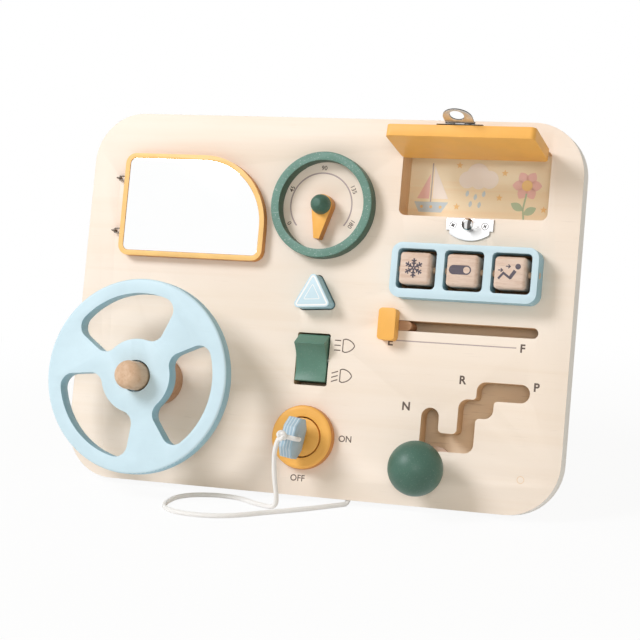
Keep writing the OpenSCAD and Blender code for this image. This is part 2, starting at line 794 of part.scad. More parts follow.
module picture_cube(x) color(raw_wood) on_board() translate([0, cube_y, cube_z])
    across(x - cube_a / 2, x + cube_a / 2) difference() {
        rounded(cube_a, cube_a, cube_r);
        circle(d = axle_d + 2 * running);
    }
module left_cube() picture_cube(cube_xs[0]);
module middle_cube() picture_cube(cube_xs[1]);
module right_cube() picture_cube(cube_xs[2]);

// --- Hazard button: pushed against a spring that stands on the back cover ---

spring_r = 4.2;
spring_wire = 1;
spring_turns = 6;
pocket_top = -3 - hazard_travel;
flange_grow = 3;
flange_t = 1.8;

module hazard_button() color(sky) on_board() difference() {
    layer(hazard_out, behind) hazard_shape();
    at(hazard_at) rod(2 * spring_r + 2.2, pocket_top, behind - 1);
}

module hazard_flange() color(raw_wood) on_board() layer(behind, behind - flange_t) difference() {
    hazard_shape(flange_grow);
    at(hazard_at) circle(2 * spring_r / 2 + 1.1);
}

// The spring's wire, swept round its helix
module hazard_spring() color(steel) on_board() at(hazard_at, frame_back) {
    length = pocket_top - frame_back - spring_wire;
    per_turn = 12;
    steps = spring_turns * per_turn;
    route = [for (i = [0 : steps]) let (a = 360 * i / per_turn)
        [spring_r * cos(a), spring_r * sin(a), spring_wire / 2 + length * i / steps]];
    tube(route, spring_wire / 2, 6);
}

// --- Slider ---

shoe_top = -0.5;
shoe_h = slot_h - 0.6;
slide_knob_w = 13.6;
slide_screw_d = 3;

module slider_knob() color(orange) on_board() difference() {
    layer(passing + slide_knob_t, passing) at(slide_at) rounded(slide_knob_w, slide_knob_h, 3);
    translate([slide_at.x, slide_y, 0]) rod(slide_screw_d + 2 * held, 7.5, 0);
}

module slider_shoe() color(raw_wood) on_board() difference() {
    union() {
        layer(shoe_top, behind)
            slot([shoe_x + shoe_h / 2, slide_y], [shoe_x + shoe_l - shoe_h / 2, slide_y], shoe_h);
        layer(passing, shoe_top - 1) translate([slide_at.x, slide_y]) square([11, shoe_h], center = true);
    }
    translate([slide_at.x, slide_y, 0]) rod(slide_screw_d + 2 * held, 1, behind - 1);
}

module slider_keeper() color(raw_wood) on_board() difference() {
    layer(behind, behind - plate_t) translate([slide_at.x + 2, slide_y]) rounded(22, 16, 2);
    translate([slide_at.x, slide_y, 0]) rod(slide_screw_d + 2 * held, 1, behind - plate_t - 1);
}

module slider_screw() color(steel) on_board() translate([slide_at.x, slide_y, 0]) {
    rod(slide_screw_d, 7, behind - plate_t - 1);
    rod(6, behind - plate_t, behind - plate_t - 2);
}

// --- Headlamp rocker: hollow-fronted, on a pin that lies in grooves in the panel's back ---

rocker_side = [18.9, -2.7];
rocker_lip = [14.8, 9.8];
rocker_sag = 4.7;
rocker_hollow = (rocker_lip.x * rocker_lip.x + rocker_sag * rocker_sag) / 2 / rocker_sag;
rocker_foot = [16, -9];

module rocker_outline() difference() {
    polygon([rocker_side, rocker_lip, [-rocker_lip.x, rocker_lip.y], [-rocker_side.x, rocker_side.y],
             [-rocker_foot.x, rocker_foot.y], rocker_foot]);
    translate([0, rocker_lip.y - rocker_sag + rocker_hollow]) circle(rocker_hollow, $fn = 96);
}

module headlamp_rocker() color(deep_sage) on_board() at(rocker_at, rocker_z) rotate([rocker_tilt, 0, 0])
    across(-rocker_w / 2, rocker_w / 2) difference() {
        rocker_outline();
        circle(d = pin_d + 2 * running);
    }

module rocker_pin() color(steel) on_board() at(rocker_at, rocker_z)
    across(-rocker_hole.x / 2 - pin_reach, rocker_hole.x / 2 + pin_reach) circle(d = pin_d);

module rocker_keepers() color(raw_wood) on_board() for (side = [-1, 1])
    translate([rocker_at.x + side * (rocker_hole.x / 2 + pin_reach / 2 + 0.3), rocker_at.y, panel_back])
        difference() {
            translate([-pin_reach / 2 + 0.3, -pin_d / 2, 0])
                cube([pin_reach - 0.6, pin_d, rocker_z - panel_back]);
            translate([-pin_reach, 0, rocker_z - panel_back]) rotate([0, 90, 0])
                cylinder(d = pin_d + 2 * held, h = 2 * pin_reach);
        }

// --- Gear lever: a ball on a stem whose disc is captive behind the panel ---

stem_d = 12.6;

module gear_ball() color(deep_sage) on_board() at(gate_d, ball_z) difference() {
    sphere(d = ball_d, $fn = 96);
    rod(stem_d + 2 * held, -6, -ball_d);
}

module gear_stem() color(raw_wood) on_board() at(gate_d) rod(stem_d, ball_z - 6.2, behind - plate_t);

module gear_disc() color(raw_wood) on_board() at(gate_d)
    layer(behind, behind - plate_t) ring(disc_d, stem_d + 2 * held);

// --- Key switch: a ring on the panel, a barrel that turns in it, and a key in the barrel ---

blade = [5, 14];
blade_tip = switch_h + 1.7 - key_pull;
slot_floor = blade_tip - 2;
bow = [10, 30.7];
key_rest = 9;
bow_back = 13;
bow_front = bow_back + 24;
bow_y = switch_at.y - 1.25;
bow_cut = 7;
bow_hole_z = bow_front - 9;
bow_hole_d = 4.8;

module switch_ring() color(orange) on_board() at(switch_at) rotate_extrude($fn = 96) difference() {
    domed(switch_d / 2, switch_h, 3);
    translate([-1, -1]) square([barrel_hole / 2 + 1, switch_h + 2]);
}

module key_barrel() color(orange) on_board() at(switch_at) difference() {
    rod(barrel_d, switch_h, behind);
    rotate(-key_rest) translate([-blade.x / 2 - passing, -blade.y / 2 - passing, slot_floor])
        cube([blade.x + 2 * passing, blade.y + 2 * passing, switch_h - slot_floor + 1]);
    rod(3.2, slot_floor - 1.5, behind - 1);
}

module barrel_retainer() color(raw_wood) on_board() at(switch_at) {
    layer(behind, behind - plate_t) circle(d = retainer_d);
    rod(3, slot_floor - 2, behind - 1);
}

// Turned with the key about the axis of the switch
module with_key() on_board() at(switch_at) rotate(-key_rest)
    at([-switch_at.x, bow_y - switch_at.y]) children();

module key() color(key_blue) with_key() difference() {
    union() {
        across(-bow.x / 2, bow.x / 2) bow_outline();
        translate([-blade.x / 2, switch_at.y - bow_y - blade.y / 2, blade_tip])
            cube([blade.x, blade.y, bow_back - blade_tip + 1]);
    }
    translate([0, 0, bow_hole_z]) across(-bow.x, bow.x) circle(d = bow_hole_d);
}

// An octagon in the plane up and out of the board
module bow_outline() {
    half = bow.y / 2;
    polygon([[-half + bow_cut, bow_back], [half - bow_cut, bow_back], [half, bow_back + bow_cut],
             [half, bow_front - bow_cut], [half - bow_cut, bow_front], [-half + bow_cut, bow_front],
             [-half, bow_front - bow_cut], [-half, bow_back + bow_cut]]);
}

// --- The key's cord: a loop through the bow, a knot, a hanging stretch and a lie on the floor ---

loop_half = bow.x / 2 + cord_d / 2 + passing;
loop_top = bow_front + cord_d / 2 + passing;
loop_r = 3;
knot_at = switch_at + [-1.8, -0.8];
knot_z = loop_top + cord_d / 2 + passing;
knot_d = 8.8;
knot_h = 6.4;

// A rounded rectangle of cord in the plane across and out of the board
module key_loop() color("white") with_key() {
    middle = (bow_hole_z + loop_top) / 2;
    tall = (loop_top - bow_hole_z) / 2;
    for (side = [-1, 1]) {
        translate([0, 0, middle + side * tall]) rotate([0, 90, 0])
            cylinder(d = cord_d, h = 2 * (loop_half - loop_r), center = true);
        translate([side * loop_half, 0, middle]) cylinder(d = cord_d, h = 2 * (tall - loop_r), center = true);
    }
    for (turn = [0 : 3])
        translate([(turn == 0 || turn == 3 ? 1 : -1) * (loop_half - loop_r), 0,
                   middle + (turn < 2 ? 1 : -1) * (tall - loop_r)])
            rotate([90, 0, 0]) rotate([0, 0, 90 * turn]) rotate_extrude(angle = 90)
            translate([loop_r, 0]) circle(d = cord_d);
}

module cord_knot() color("white") on_board() at(knot_at, knot_z)
    rotate_extrude() domed_both(knot_d / 2, knot_h, 2.8);

// Route of the cord on the board's side of the room, from the board's centre line: across, back, up.
// It hangs from the knot, lies on the floor and ends in a bore in the panel's lower edge.
drop_route = [[-4.9, -69.2, 55.2], [-6.6, -69.4, 50.5], [-7.8, -69.4, 44], [-8.2, -69, 34.5]];
floor_z = cord_d / 2 + 0.1;
floor_route = [
    [-8.2, -69, 34], [-7.9, -68.6, 24], [-7.1, -68, 14], [-7.6, -67, 6.5],
    [-11, -65.4, floor_z + 0.9], [-16.5, -63.2, floor_z], [-23, -60.6, floor_z], [-30, -57.4, floor_z],
    [-37, -53, floor_z], [-45, -49, floor_z], [-54, -47, floor_z], [-64, -46.6, floor_z],
    [-74, -48.6, floor_z], [-82, -52, floor_z], [-88, -57.4, floor_z], [-91.6, -64.4, floor_z],
    [-92.4, -72, floor_z], [-92, -80, floor_z], [-90, -87, floor_z], [-86, -93.4, floor_z],
    [-79, -98.6, floor_z], [-70, -101.8, floor_z], [-60, -103, floor_z], [-50, -102.6, floor_z],
    [-40, -100.2, floor_z], [-31, -96, floor_z], [-22, -89.6, floor_z], [-14, -82.6, floor_z],
    [-6, -76, floor_z], [3, -69, floor_z], [12, -61.4, floor_z], [20, -54, floor_z],
    [27, -47, floor_z], [33, -41, floor_z]];
bore_mouth = [37, -36.6, 1.95];
bore_end = [40.4, -28.8, 10.3];
cord_route = concat(floor_route, [bore_mouth, (bore_mouth + bore_end) / 2, bore_end]);

module cord_drop() color("white") translate([0, board_y, 0]) tube(drop_route, cord_d / 2, 8);
module key_cord() color("white") translate([0, board_y, 0]) tube(cord_route, cord_d / 2, 8);

// A round tube along a route. Each ring stands square to the route, turned as little as it can be.
function unit(v) = v / norm(v);
function heading(route, i) = unit(route[min(i + 1, len(route) - 1)] - route[max(i - 1, 0)]);
function square_to(v, t) = unit(v - (v * t) * t);
function sides_along(route, i = 0, last = [1, 0.2, 0.1]) = i == len(route) ? [] :
    let (side = square_to(last, heading(route, i))) concat([side], sides_along(route, i + 1, side));

module tube(route, r, sides) {
    normals = sides_along(route);
    rings = [for (i = [0 : len(route) - 1], k = [0 : sides - 1])
        let (a = 360 * (k + 0.5) / sides, u = normals[i], w = cross(heading(route, i), u))
        route[i] + r * (cos(a) * u + sin(a) * w)];
    last = (len(route) - 1) * sides;
    polyhedron(rings, concat(
        [[for (k = [0 : sides - 1]) k]],
        [for (i = [0 : len(route) - 2], k = [0 : sides - 1]) let (next = (k + 1) % sides)
            [i * sides + k, (i + 1) * sides + k, (i + 1) * sides + next, i * sides + next]],
        [[for (k = [sides - 1 : -1 : 0]) last + k]]));
}

front_panel();
rear_frame();
back_cover();
cover_screws();
left_foot();
right_foot();
foot_screws();
panel_screws();
foot_plugs();
hub_spacer();
hub_peg();
steering_wheel();
dial_ring();
pointer();
pointer_peg();
pointer_washer();
mirror_frame();
mirror_plate();
mirror_frame_loops();
mirror_panel_eyes();
compartment_liner();
compartment_card();
lid_board();
lid_hinge_leaves();
panel_hinge_leaves();
lid_hinge_pins();
latch_plate();
hasp();
hasp_pin();
keeper_plate();
keeper_stud();
keeper_screws();
cube_frame();
cube_axle();
left_cube();
middle_cube();
right_cube();
hazard_button();
hazard_flange();
hazard_spring();
slider_knob();
slider_shoe();
slider_keeper();
slider_screw();
headlamp_rocker();
rocker_pin();
rocker_keepers();
gear_ball();
gear_stem();
gear_disc();
switch_ring();
key_barrel();
barrel_retainer();
key();
key_loop();
cord_knot();
cord_drop();
key_cord();
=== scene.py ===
"""Looks of the wooden busy board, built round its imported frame.

Every piece but the cord is drawn in the panel's own plane, in millimetres: x across, y up the
panel from its centre, z out of its front face. BOARD leans that plane back and sets it on its
feet, in metres.
"""

import json
import math

import bmesh
import bpy
from bpy.props import FloatProperty, FloatVectorProperty, IntProperty, PointerProperty
from bpy.types import Operator, Panel, PropertyGroup
from mathutils import Matrix, Vector

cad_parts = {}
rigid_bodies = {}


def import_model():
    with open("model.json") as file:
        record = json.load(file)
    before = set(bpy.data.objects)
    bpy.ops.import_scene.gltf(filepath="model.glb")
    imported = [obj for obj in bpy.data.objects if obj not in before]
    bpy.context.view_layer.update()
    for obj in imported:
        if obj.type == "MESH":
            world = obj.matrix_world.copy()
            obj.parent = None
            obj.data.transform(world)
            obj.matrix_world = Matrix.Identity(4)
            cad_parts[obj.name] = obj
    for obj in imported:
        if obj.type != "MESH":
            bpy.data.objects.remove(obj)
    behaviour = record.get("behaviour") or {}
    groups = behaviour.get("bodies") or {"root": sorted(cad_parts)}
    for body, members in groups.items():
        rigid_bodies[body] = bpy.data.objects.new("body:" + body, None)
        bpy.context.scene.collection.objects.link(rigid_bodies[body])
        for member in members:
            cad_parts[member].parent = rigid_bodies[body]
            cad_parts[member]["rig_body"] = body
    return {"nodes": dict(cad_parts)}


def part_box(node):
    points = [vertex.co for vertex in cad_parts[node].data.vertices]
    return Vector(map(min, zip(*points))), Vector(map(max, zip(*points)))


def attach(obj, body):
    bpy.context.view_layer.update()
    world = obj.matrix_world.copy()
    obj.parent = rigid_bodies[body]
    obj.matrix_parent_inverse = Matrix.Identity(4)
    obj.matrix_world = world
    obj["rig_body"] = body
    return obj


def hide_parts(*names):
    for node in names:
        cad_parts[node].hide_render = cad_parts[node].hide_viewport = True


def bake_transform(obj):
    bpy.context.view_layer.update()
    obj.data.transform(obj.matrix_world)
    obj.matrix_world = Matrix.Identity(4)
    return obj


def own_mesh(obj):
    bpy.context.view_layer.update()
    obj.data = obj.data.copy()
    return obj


bl_info = {
    "name": "Wooden busy board",
    "version": (1, 0, 0),
    "blender": (4, 5, 0),
    "location": "View3D > Sidebar > Busy board",
    "description": "Builds the finished look of a wooden busy board on its frame",
    "category": "Object",
}

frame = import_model()

# A millimetre in metres, the board's lean from upright, its height in millimetres, and how far
# the key stands turned
MM = 0.001
LEAN = math.radians(15)
PANEL_HEIGHT = 292
KEY_TURN = math.radians(9)


def board_matrix():
    """The panel's plane in the world, found from where the front panel stands."""
    low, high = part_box("front_panel")
    half = PANEL_HEIGHT / 2 * MM
    centre = (0, low.y + half * math.sin(LEAN), high.z - half * math.cos(LEAN))
    tilt = Matrix.Rotation(math.pi / 2 - LEAN, 4, "X")
    return Matrix.Translation(centre) @ tilt @ Matrix.Scale(MM, 4)


BOARD = board_matrix()
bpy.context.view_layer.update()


def span(node, place=BOARD):
    """Lowest and highest corner of a node on the board, in millimetres."""
    back = place.inverted()
    points = [back @ v.co for v in frame["nodes"][node].data.vertices]
    low = Vector([min(p[i] for p in points) for i in range(3)])
    high = Vector([max(p[i] for p in points) for i in range(3)])
    return low, high


def middle(node):
    """The middle of a node's box on the board."""
    low, high = span(node)
    return (low + high) / 2


def key_place():
    """The board's plane, turned with the key about the axis of its switch."""
    at = middle("switch_ring")
    axis = Matrix.Translation((at.x, at.y, 0))
    return BOARD @ axis @ Matrix.Rotation(-KEY_TURN, 4, "Z") @ axis.inverted()


def paint(red, green, blue):
    """A colour written as 0 to 255 on a screen, as the linear values that a shader takes."""
    return tuple(
        c / 12.92 if c <= 0.04045 else ((c + 0.055) / 1.055) ** 2.4
        for c in (red / 255, green / 255, blue / 255)
    )


# --- Sizes and colours that a user may change ---


def length(name, note, default):
    """A size in metres that a user may change."""
    return FloatProperty(
        name=name, description=note, default=default, min=0, subtype="DISTANCE", unit="LENGTH"
    )


def colour(name, note, *default):
    """A colour that a user may change, written as 0 to 255."""
    return FloatVectorProperty(
        name=name, description=note, default=paint(*default), min=0, max=1, subtype="COLOR"
    )


class BusySizes(PropertyGroup):
    panel_edge: length("Panel edge", "Rounding of the panel's edges", 0.0007)
    wood_edge: length("Wood edge", "Rounding of the edges of painted pieces", 0.0008)
    fine_edge: length("Fine edge", "Rounding of the edges of small pieces", 0.0004)
    metal_edge: length("Metal edge", "Rounding of the edges of metal pieces", 0.00018)
    cube_edge: length("Cube edge", "Rounding of the picture cubes' edges", 0.0028)
    cord_diameter: length("Cord diameter", "Diameter of the key's cord", 0.0036)
    print_height: length("Print height", "How far printed marks stand up", 0.00004)
    edge_steps: IntProperty(
        name="Edge steps", description="Faces across each rounded edge", default=3, min=1, max=6
    )


class BusyColours(PropertyGroup):
    birch: colour("Birch", "Face of the panel, the feet and the plugs", 249, 235, 221)
    birch_dark: colour("Birch grain", "Darker streaks in the panel's face", 241, 222, 201)
    # The outer edge is near white, lighter than the face of the same birch: partly sanded wood,
    # partly painted highlight
    side: colour("Side", "Sanded outer edge of the panel", 255, 253, 250)
    ply_edge: colour("Ply edge", "Sawn edges inside the openings", 236, 202, 162)
    # The back cover is as pale as wood can be: partly its own colour, partly painted light for the
    # dim floor inside the gate
    floor_wood: colour("Floor wood", "Back cover, which shows inside the gate", 255, 231, 200)
    beech: colour("Beech", "Bare wood of the cubes, the stem and hidden pieces", 228, 205, 189)
    beech_dark: colour("Beech fleck", "Darker flecks in bare wood", 206, 173, 150)
    peg: colour("Peg", "Wood of the wheel's peg and the cubes' axle", 222, 190, 160)
    # The shoe's and the spacer's darker wood is partly painted shade, where they sit in the slot and
    # under the wheel
    shoe: colour("Shoe", "Darker wood of the slider's shoe and the wheel's spacer", 196, 154, 120)
    orange: colour("Orange", "Paint of the lid, pointer, slider and switch", 250, 186, 92)
    # Painted shade: the same orange paint as the faces, darker on every sideways face
    orange_side: colour("Orange side", "Sides of the pointer, switch and mirror frame", 214, 142, 68)
    # Painted highlight: the lid's orange, lighter on the mirror's frame
    mirror_orange: colour("Mirror orange", "Paint of the mirror's frame", 250, 203, 128)
    sage: colour("Sage", "Paint of the dial's ring", 101, 139, 126)
    # Painted shade: the dial ring's own sage, darker on its sideways faces
    sage_side: colour("Sage side", "Paint on the sawn sides of the dial's ring", 60, 94, 80)
    deep_sage: colour("Deep sage", "Paint of the ball and the pointer's knob", 71, 107, 93)
    # Painted light: the ball's deep sage, lighter on the rocker, which faces down
    rocker: colour("Rocker", "Paint of the headlamp rocker", 92, 132, 115)
    sky: colour("Sky", "Paint of the wheel, the cubes' frame and the button", 206, 230, 241)
    # Painted shade: the blue pieces' own paint, darker on their sideways faces
    sky_side: colour("Sky side", "Paint on the sawn sides of the blue pieces", 154, 198, 216)
    key_blue: colour("Key blue", "Paint of the key", 168, 196, 214)
    ink: colour("Ink", "Printed numbers, letters and lamp signs", 100, 85, 77)
    line_ink: colour("Line ink", "Printed arc and scale", 182, 164, 162)
    icon_ink: colour("Icon ink", "Signs on the picture cubes", 95, 88, 98)
    # Painted shade in the keeper screws' crosses and round their heads
    pit: colour("Pit", "Crosses and rims of the keeper's screws", 58, 52, 48)
    white: colour("White ink", "Sign on the hazard button", 252, 253, 253)
    cord: colour("Cord", "Braid of the key's cord", 252, 250, 248)
    steel: colour("Steel", "Plated metal", 232, 231, 230)
    # Painted reflection: dark bands in the plated metal's colour, and the stud's dark side
    steel_dark: colour("Steel shade", "Darker bands in plated metal", 150, 146, 142)


# --- Finishes ---


def add_node(tree, kind, settings=None, sockets=None):
    """A node of that kind: its settings first, then the values or links of its sockets."""
    made = tree.nodes.new(kind)
    for key, value in (settings or {}).items():
        setattr(made, key, value)
    for key, value in (sockets or {}).items():
        socket = made.inputs[key]
        if isinstance(value, Value):
            value = value.socket
        if isinstance(value, bpy.types.NodeSocket):
            tree.links.new(value, socket)
        elif socket.type == "RGBA" and len(value) == 3:
            socket.default_value = (*value, 1)
        else:
            socket.default_value = value
    return made


class Value:
    """A socket of a finish, with the arithmetic that shader maths needs."""

    def __init__(self, finish, socket):
        self.finish = finish
        self.socket = socket

    def maths(self, operation, *values):
        sockets = dict(enumerate(values))
        return self.finish.node("ShaderNodeMath", {"operation": operation}, sockets)

    def __add__(self, other):
        return self.maths("ADD", self, other)

    def __sub__(self, other):
        return self.maths("SUBTRACT", self, other)

    def __rsub__(self, other):
        return self.maths("SUBTRACT", other, self)

    def __mul__(self, other):
        return self.maths("MULTIPLY", self, other)

    __radd__ = __add__
    __rmul__ = __mul__

    def wave(self):
        return self.maths("SINE", self)

    def smooth(self, low, high):
        """0 below low and 1 above high, with a soft step between."""
        sockets = {"Value": self, "From Min": low, "From Max": high}
        return self.finish.node("ShaderNodeMapRange", {"interpolation_type": "SMOOTHSTEP"}, sockets)


class Finish:
    """One Principled shader and the nodes that feed it."""

    def __init__(self, name, roughness, **constants):
        self.material = bpy.data.materials.new(name)
        self.material.use_nodes = True
        self.tree = self.material.node_tree
        self.shader = self.tree.nodes["Principled BSDF"]
        self.shader.inputs["Roughness"].default_value = roughness
        for socket, value in constants.items():
            self.shader.inputs[socket.replace("_", " ")].default_value = value

    def node(self, kind, settings=None, sockets=None, output=0):
        return Value(self, add_node(self.tree, kind, settings, sockets).outputs[output])

    def feed(self, socket, value):
        self.tree.links.new(value.socket, self.shader.inputs[socket])

    def mix(self, factor, first, second):
        """The first colour where the factor is 0 and the second where it is 1."""
        settings = {"data_type": "RGBA", "clamp_factor": True}
        return self.node("ShaderNodeMix", settings, {0: factor, 6: first, 7: second}, 2)

    def place(self, scale=(1, 1, 1), shift=(0, 0, 0)):
        """Object coordinates turned to the board's plane and stretched, in cycles per metre."""
        where = self.node("ShaderNodeTexCoord", output="Object")
        flat = {"Vector": where, "Rotation": (LEAN - math.pi / 2, 0, 0)}
        turned = self.node("ShaderNodeMapping", {}, flat)
        stretch = {"Vector": turned, "Scale": scale, "Location": shift}
        return self.node("ShaderNodeMapping", {}, stretch)

    def noise(self, scale, detail=3, roughness=0.5, shift=(0, 0, 0), distortion=0):
        """Noise from 0 to 1 whose grains are one over scale metres long on each axis."""
        sockets = {
            "Vector": self.place(scale, shift),
            "Scale": 1,
            "Detail": detail,
            "Roughness": roughness,
            "Distortion": distortion,
        }
        return self.node("ShaderNodeTexNoise", {}, sockets)

    def axis(self, which):
        """One board coordinate, in metres."""
        return self.node("ShaderNodeSeparateXYZ", {}, {"Vector": self.place()}, which)

    def bump(self, height, depth, strength):
        """Small relief, depth metres high where the height is 1."""
        sockets = {"Height": height, "Distance": depth, "Strength": strength}
        self.feed("Normal", self.node("ShaderNodeBump", {}, sockets))


def colour_of(tone):
    """One of the board's colours, as it is set now."""
    return tuple(getattr(bpy.context.scene.busy_colours, tone))


def shade(value, amount):
    """The colour, darkened for amounts below 1 and lightened above."""
    return tuple(min(1.0, c * amount) for c in value)


def birch_finish():
    """Rotary-cut birch ply: long faint streaks across the board, soft blotches, fine pores."""
    finish = Finish("birch", 0.52, Specular_IOR_Level=0.35)
    light, dark = colour_of("birch"), colour_of("birch_dark")
    streaks = finish.noise((3.2, 85, 60), 4, 0.55, distortion=0.6)
    blotch = finish.noise((9, 16, 8), 2, 0.4, shift=(4, 1, 2))
    pores = finish.noise((45, 900, 700), 2, 0.5)
    tone = streaks.smooth(0.42, 0.72) * 0.3 + blotch.smooth(0.35, 0.75) * 0.3
    base = finish.mix(tone, light, dark)
    fleck = pores.smooth(0.66, 0.78) * 0.16
    finish.feed("Base Color", finish.mix(fleck, base, shade(dark, 0.72)))
    finish.feed("Roughness", 0.46 + streaks * 0.12)
    finish.bump(streaks * 0.6 + pores * 0.5, 0.00006, 0.6)
    return finish.material


def ply_finish():
    """The sawn edge of the ply: thin veneers that change from light to dark through the board."""
    finish = Finish("ply_edge", 0.6, Specular_IOR_Level=0.3)
    light, dark = colour_of("ply_edge"), shade(colour_of("ply_edge"), 0.62)
    depth = finish.axis(2)
    wander = finish.noise((30, 30, 30), 2) * 0.0005
    layers = ((depth + wander) * (math.tau / 0.0028)).wave()
    glue = ((depth + wander) * (math.tau / 0.0014)).wave().smooth(0.82, 1.0)
    speck = finish.noise((260, 260, 1400), 3, 0.6)
    tone = layers.smooth(-0.6, 0.6) * 0.4 + speck.smooth(0.5, 0.8) * 0.3
    base = finish.mix(tone, light, dark)
    finish.feed("Base Color", finish.mix(glue * 0.35, base, shade(dark, 0.7)))
    finish.bump(speck + layers * 0.3, 0.00008, 0.7)
    return finish.material


def side_finish():
    """The panel's sanded outer edge, partly painted highlight: near white, the veneers just showing.
    """
    finish = Finish("birch_side", 0.5, Specular_IOR_Level=0.4)
    light, dark = colour_of("side"), colour_of("birch_dark")
    depth = finish.axis(2)
    layers = (depth * (math.tau / 0.0028)).wave().smooth(-0.4, 0.7)
    speck = finish.noise((220, 220, 1200), 2, 0.6)
    tone = layers * 0.22 + speck.smooth(0.55, 0.8) * 0.25
    finish.feed("Base Color", finish.mix(tone, light, dark))
    finish.bump(speck, 0.00005, 0.5)
    return finish.material


# Each wood's colour, the cycles per metre of its grain and its flecks, and the grain's contrast
WOODS = {
    "beech": ("beech", (40, 320, 320), (180, 1500, 900), 0.7),
    # Darker wood of the shoe and the spacer, partly painted shade under the wheel and down in the
    # slot
    "worn_beech": ("shoe", (40, 320, 320), (180, 1500, 900), 0.7),
    "beech_end": ("peg", (240, 240, 40), (900, 900, 120), 0.7),
    # gate_floor is the back cover's wood, made paler as painted light for the floor down inside the
    # gate
    "gate_floor": ("floor_wood", (5, 80, 80), (60, 900, 600), 0.3),
}


def bare_wood(name, tone, grain, fleck, contrast):
    """Bare wood: a straight grain with short dark flecks."""
    finish = Finish(name, 0.55, Specular_IOR_Level=0.35)
    fade = [d / l for d, l in zip(colour_of("beech_dark"), colour_of("beech"))]
    light = colour_of(tone)
    dark = tuple(t * f for t, f in zip(light, fade))
    streaks = finish.noise(grain, 3, 0.55, distortion=0.4)
    flecks = finish.noise(fleck, 2, 0.5, shift=(3, 7, 5))
    base = finish.mix(streaks.smooth(0.35, 0.75) * contrast, light, dark)
    finish.feed("Base Color", finish.mix(flecks.smooth(0.6, 0.72) * 0.4, base, shade(dark, 0.8)))
    finish.bump(streaks + flecks * 0.6, 0.00007, 0.6)
    return finish.material


# Each paint's colour, how speckled and how worn it is, and its roughness
PAINTS = {
    "orange_paint": ("orange", 0.01, 0.06, 0.45),
    # A darker copy of the orange on sideways faces, as painted shade
    "orange_side": ("orange_side", 0.02, 0.08, 0.45),
    # A lighter copy of the orange for the mirror's frame, as painted highlight
    "mirror_orange": ("mirror_orange", 0.03, 0.1, 0.45),
    "sage_paint": ("sage", 0.16, 0.16, 0.45),
    # A darker copy of the sage on sideways faces, as painted shade
    "sage_side": ("sage_side", 0.04, 0.1, 0.45),
    "deep_sage_paint": ("deep_sage", 0.03, 0.12, 0.42),
    # A lighter copy of the deep sage for the rocker, as painted light
    "rocker_paint": ("rocker", 0.03, 0.12, 0.42),
    "sky_paint": ("sky", 0.01, 0.04, 0.45),
    # A darker copy of the blue on sideways faces, as painted shade
    "sky_side": ("sky_side", 0.01, 0.06, 0.45),
    "key_paint": ("key_blue", 0.02, 0.08, 0.45),
}


def painted(name, tone, speckle, worn, roughness):
    """Water-based paint on sanded wood: even, with a faint mottle and a trace of the grain."""
    finish = Finish(name, roughness, Specular_IOR_Level=0.4)
    tint = colour_of(tone)
    mottle = finish.noise((60, 60, 60), 3, 0.55)
    grain = finish.noise((25, 420, 420), 3, 0.5, shift=(2, 5, 1))
    dots = finish.noise((1100, 1100, 1100), 2, 0.5)
    base = finish.mix(mottle.smooth(0.3, 0.7), shade(tint, 1 - worn / 2), shade(tint, 1 + worn / 2))
    streaky = finish.mix(grain.smooth(0.55, 0.8) * 0.25, base, shade(tint, 1 - worn))
    pale = tuple(c + (1 - c) * 0.5 for c in tint)
    finish.feed("Base Color", finish.mix(dots.smooth(0.6, 0.72) * speckle * 4, streaky, pale))
    finish.feed("Roughness", roughness - 0.06 + mottle * 0.12)
    finish.bump(grain * 0.7 + dots * 0.5, 0.00005, 0.5)
    return finish.material


def key_edge_finish():
    """The key's sawn edge, where pale veneers show through the paint as lines."""
    finish = Finish("key_edge", 0.45, Specular_IOR_Level=0.4)
    tint = colour_of("key_blue")
    pale = tuple(c + (1 - c) * 0.75 for c in tint)
    across = finish.axis(0) - finish.axis(1) * math.tan(KEY_TURN)
    wander = finish.noise((150, 150, 150), 3) * 0.0016
    lines = ((across + wander) * (math.tau / 0.0024)).wave().smooth(0.1, 0.8)
    finish.feed("Base Color", finish.mix(lines * 0.55, tint, pale))
    finish.bump(lines, 0.00006, 0.6)
    return finish.material


# Each dull metal's roughness, how metallic it is, its marks in cycles per metre and its colours:
# the cut edges of pressed steel, darker than steel as painted shade, and the wire of the mirror's
# hinges
DULL_METALS = {
    "steel_side": (0.5, 0.4, 300, (78, 72, 66), (54, 50, 46)),
    "dull_wire": (0.42, 1.0, 400, (152, 141, 130), (108, 98, 90)),
}


def dull_metal(name, roughness, metallic, marks, light, dark):
    """Metal without a shine, in two colours that run into each other."""
    finish = Finish(name, roughness, Metallic=metallic)
    mottle = finish.noise((marks, marks, marks), 2, 0.6)
    finish.feed("Base Color", finish.mix(mottle, paint(*light), paint(*dark)))
    return finish.material


def stud_finish():
    """The stud's turned steel, with a painted highlight down one side and painted shade down the
    other.
    """
    finish = Finish("stud_steel", 0.16, Metallic=1.0)
    bands = finish.noise((330, 60, 30), 1, 0.4, shift=(2, 0, 1))
    dark, tint = colour_of("steel_dark"), colour_of("steel")
    finish.feed("Base Color", finish.mix(bands.smooth(0.4, 0.5), tint, shade(dark, 0.4)))
    return finish.material


def satin_finish():
    """The latch's steel, which is brushed, so what it mirrors is blurred."""
    finish = Finish("satin_steel", 0.46, Metallic=1.0)
    marks = finish.noise((900, 120, 300), 3, 0.6)
    tint = colour_of("steel")
    finish.feed("Base Color", finish.mix(marks.smooth(0.5, 0.9) * 0.4, tint, shade(tint, 0.8)))
    finish.bump(marks, 0.00002, 0.4)
    return finish.material


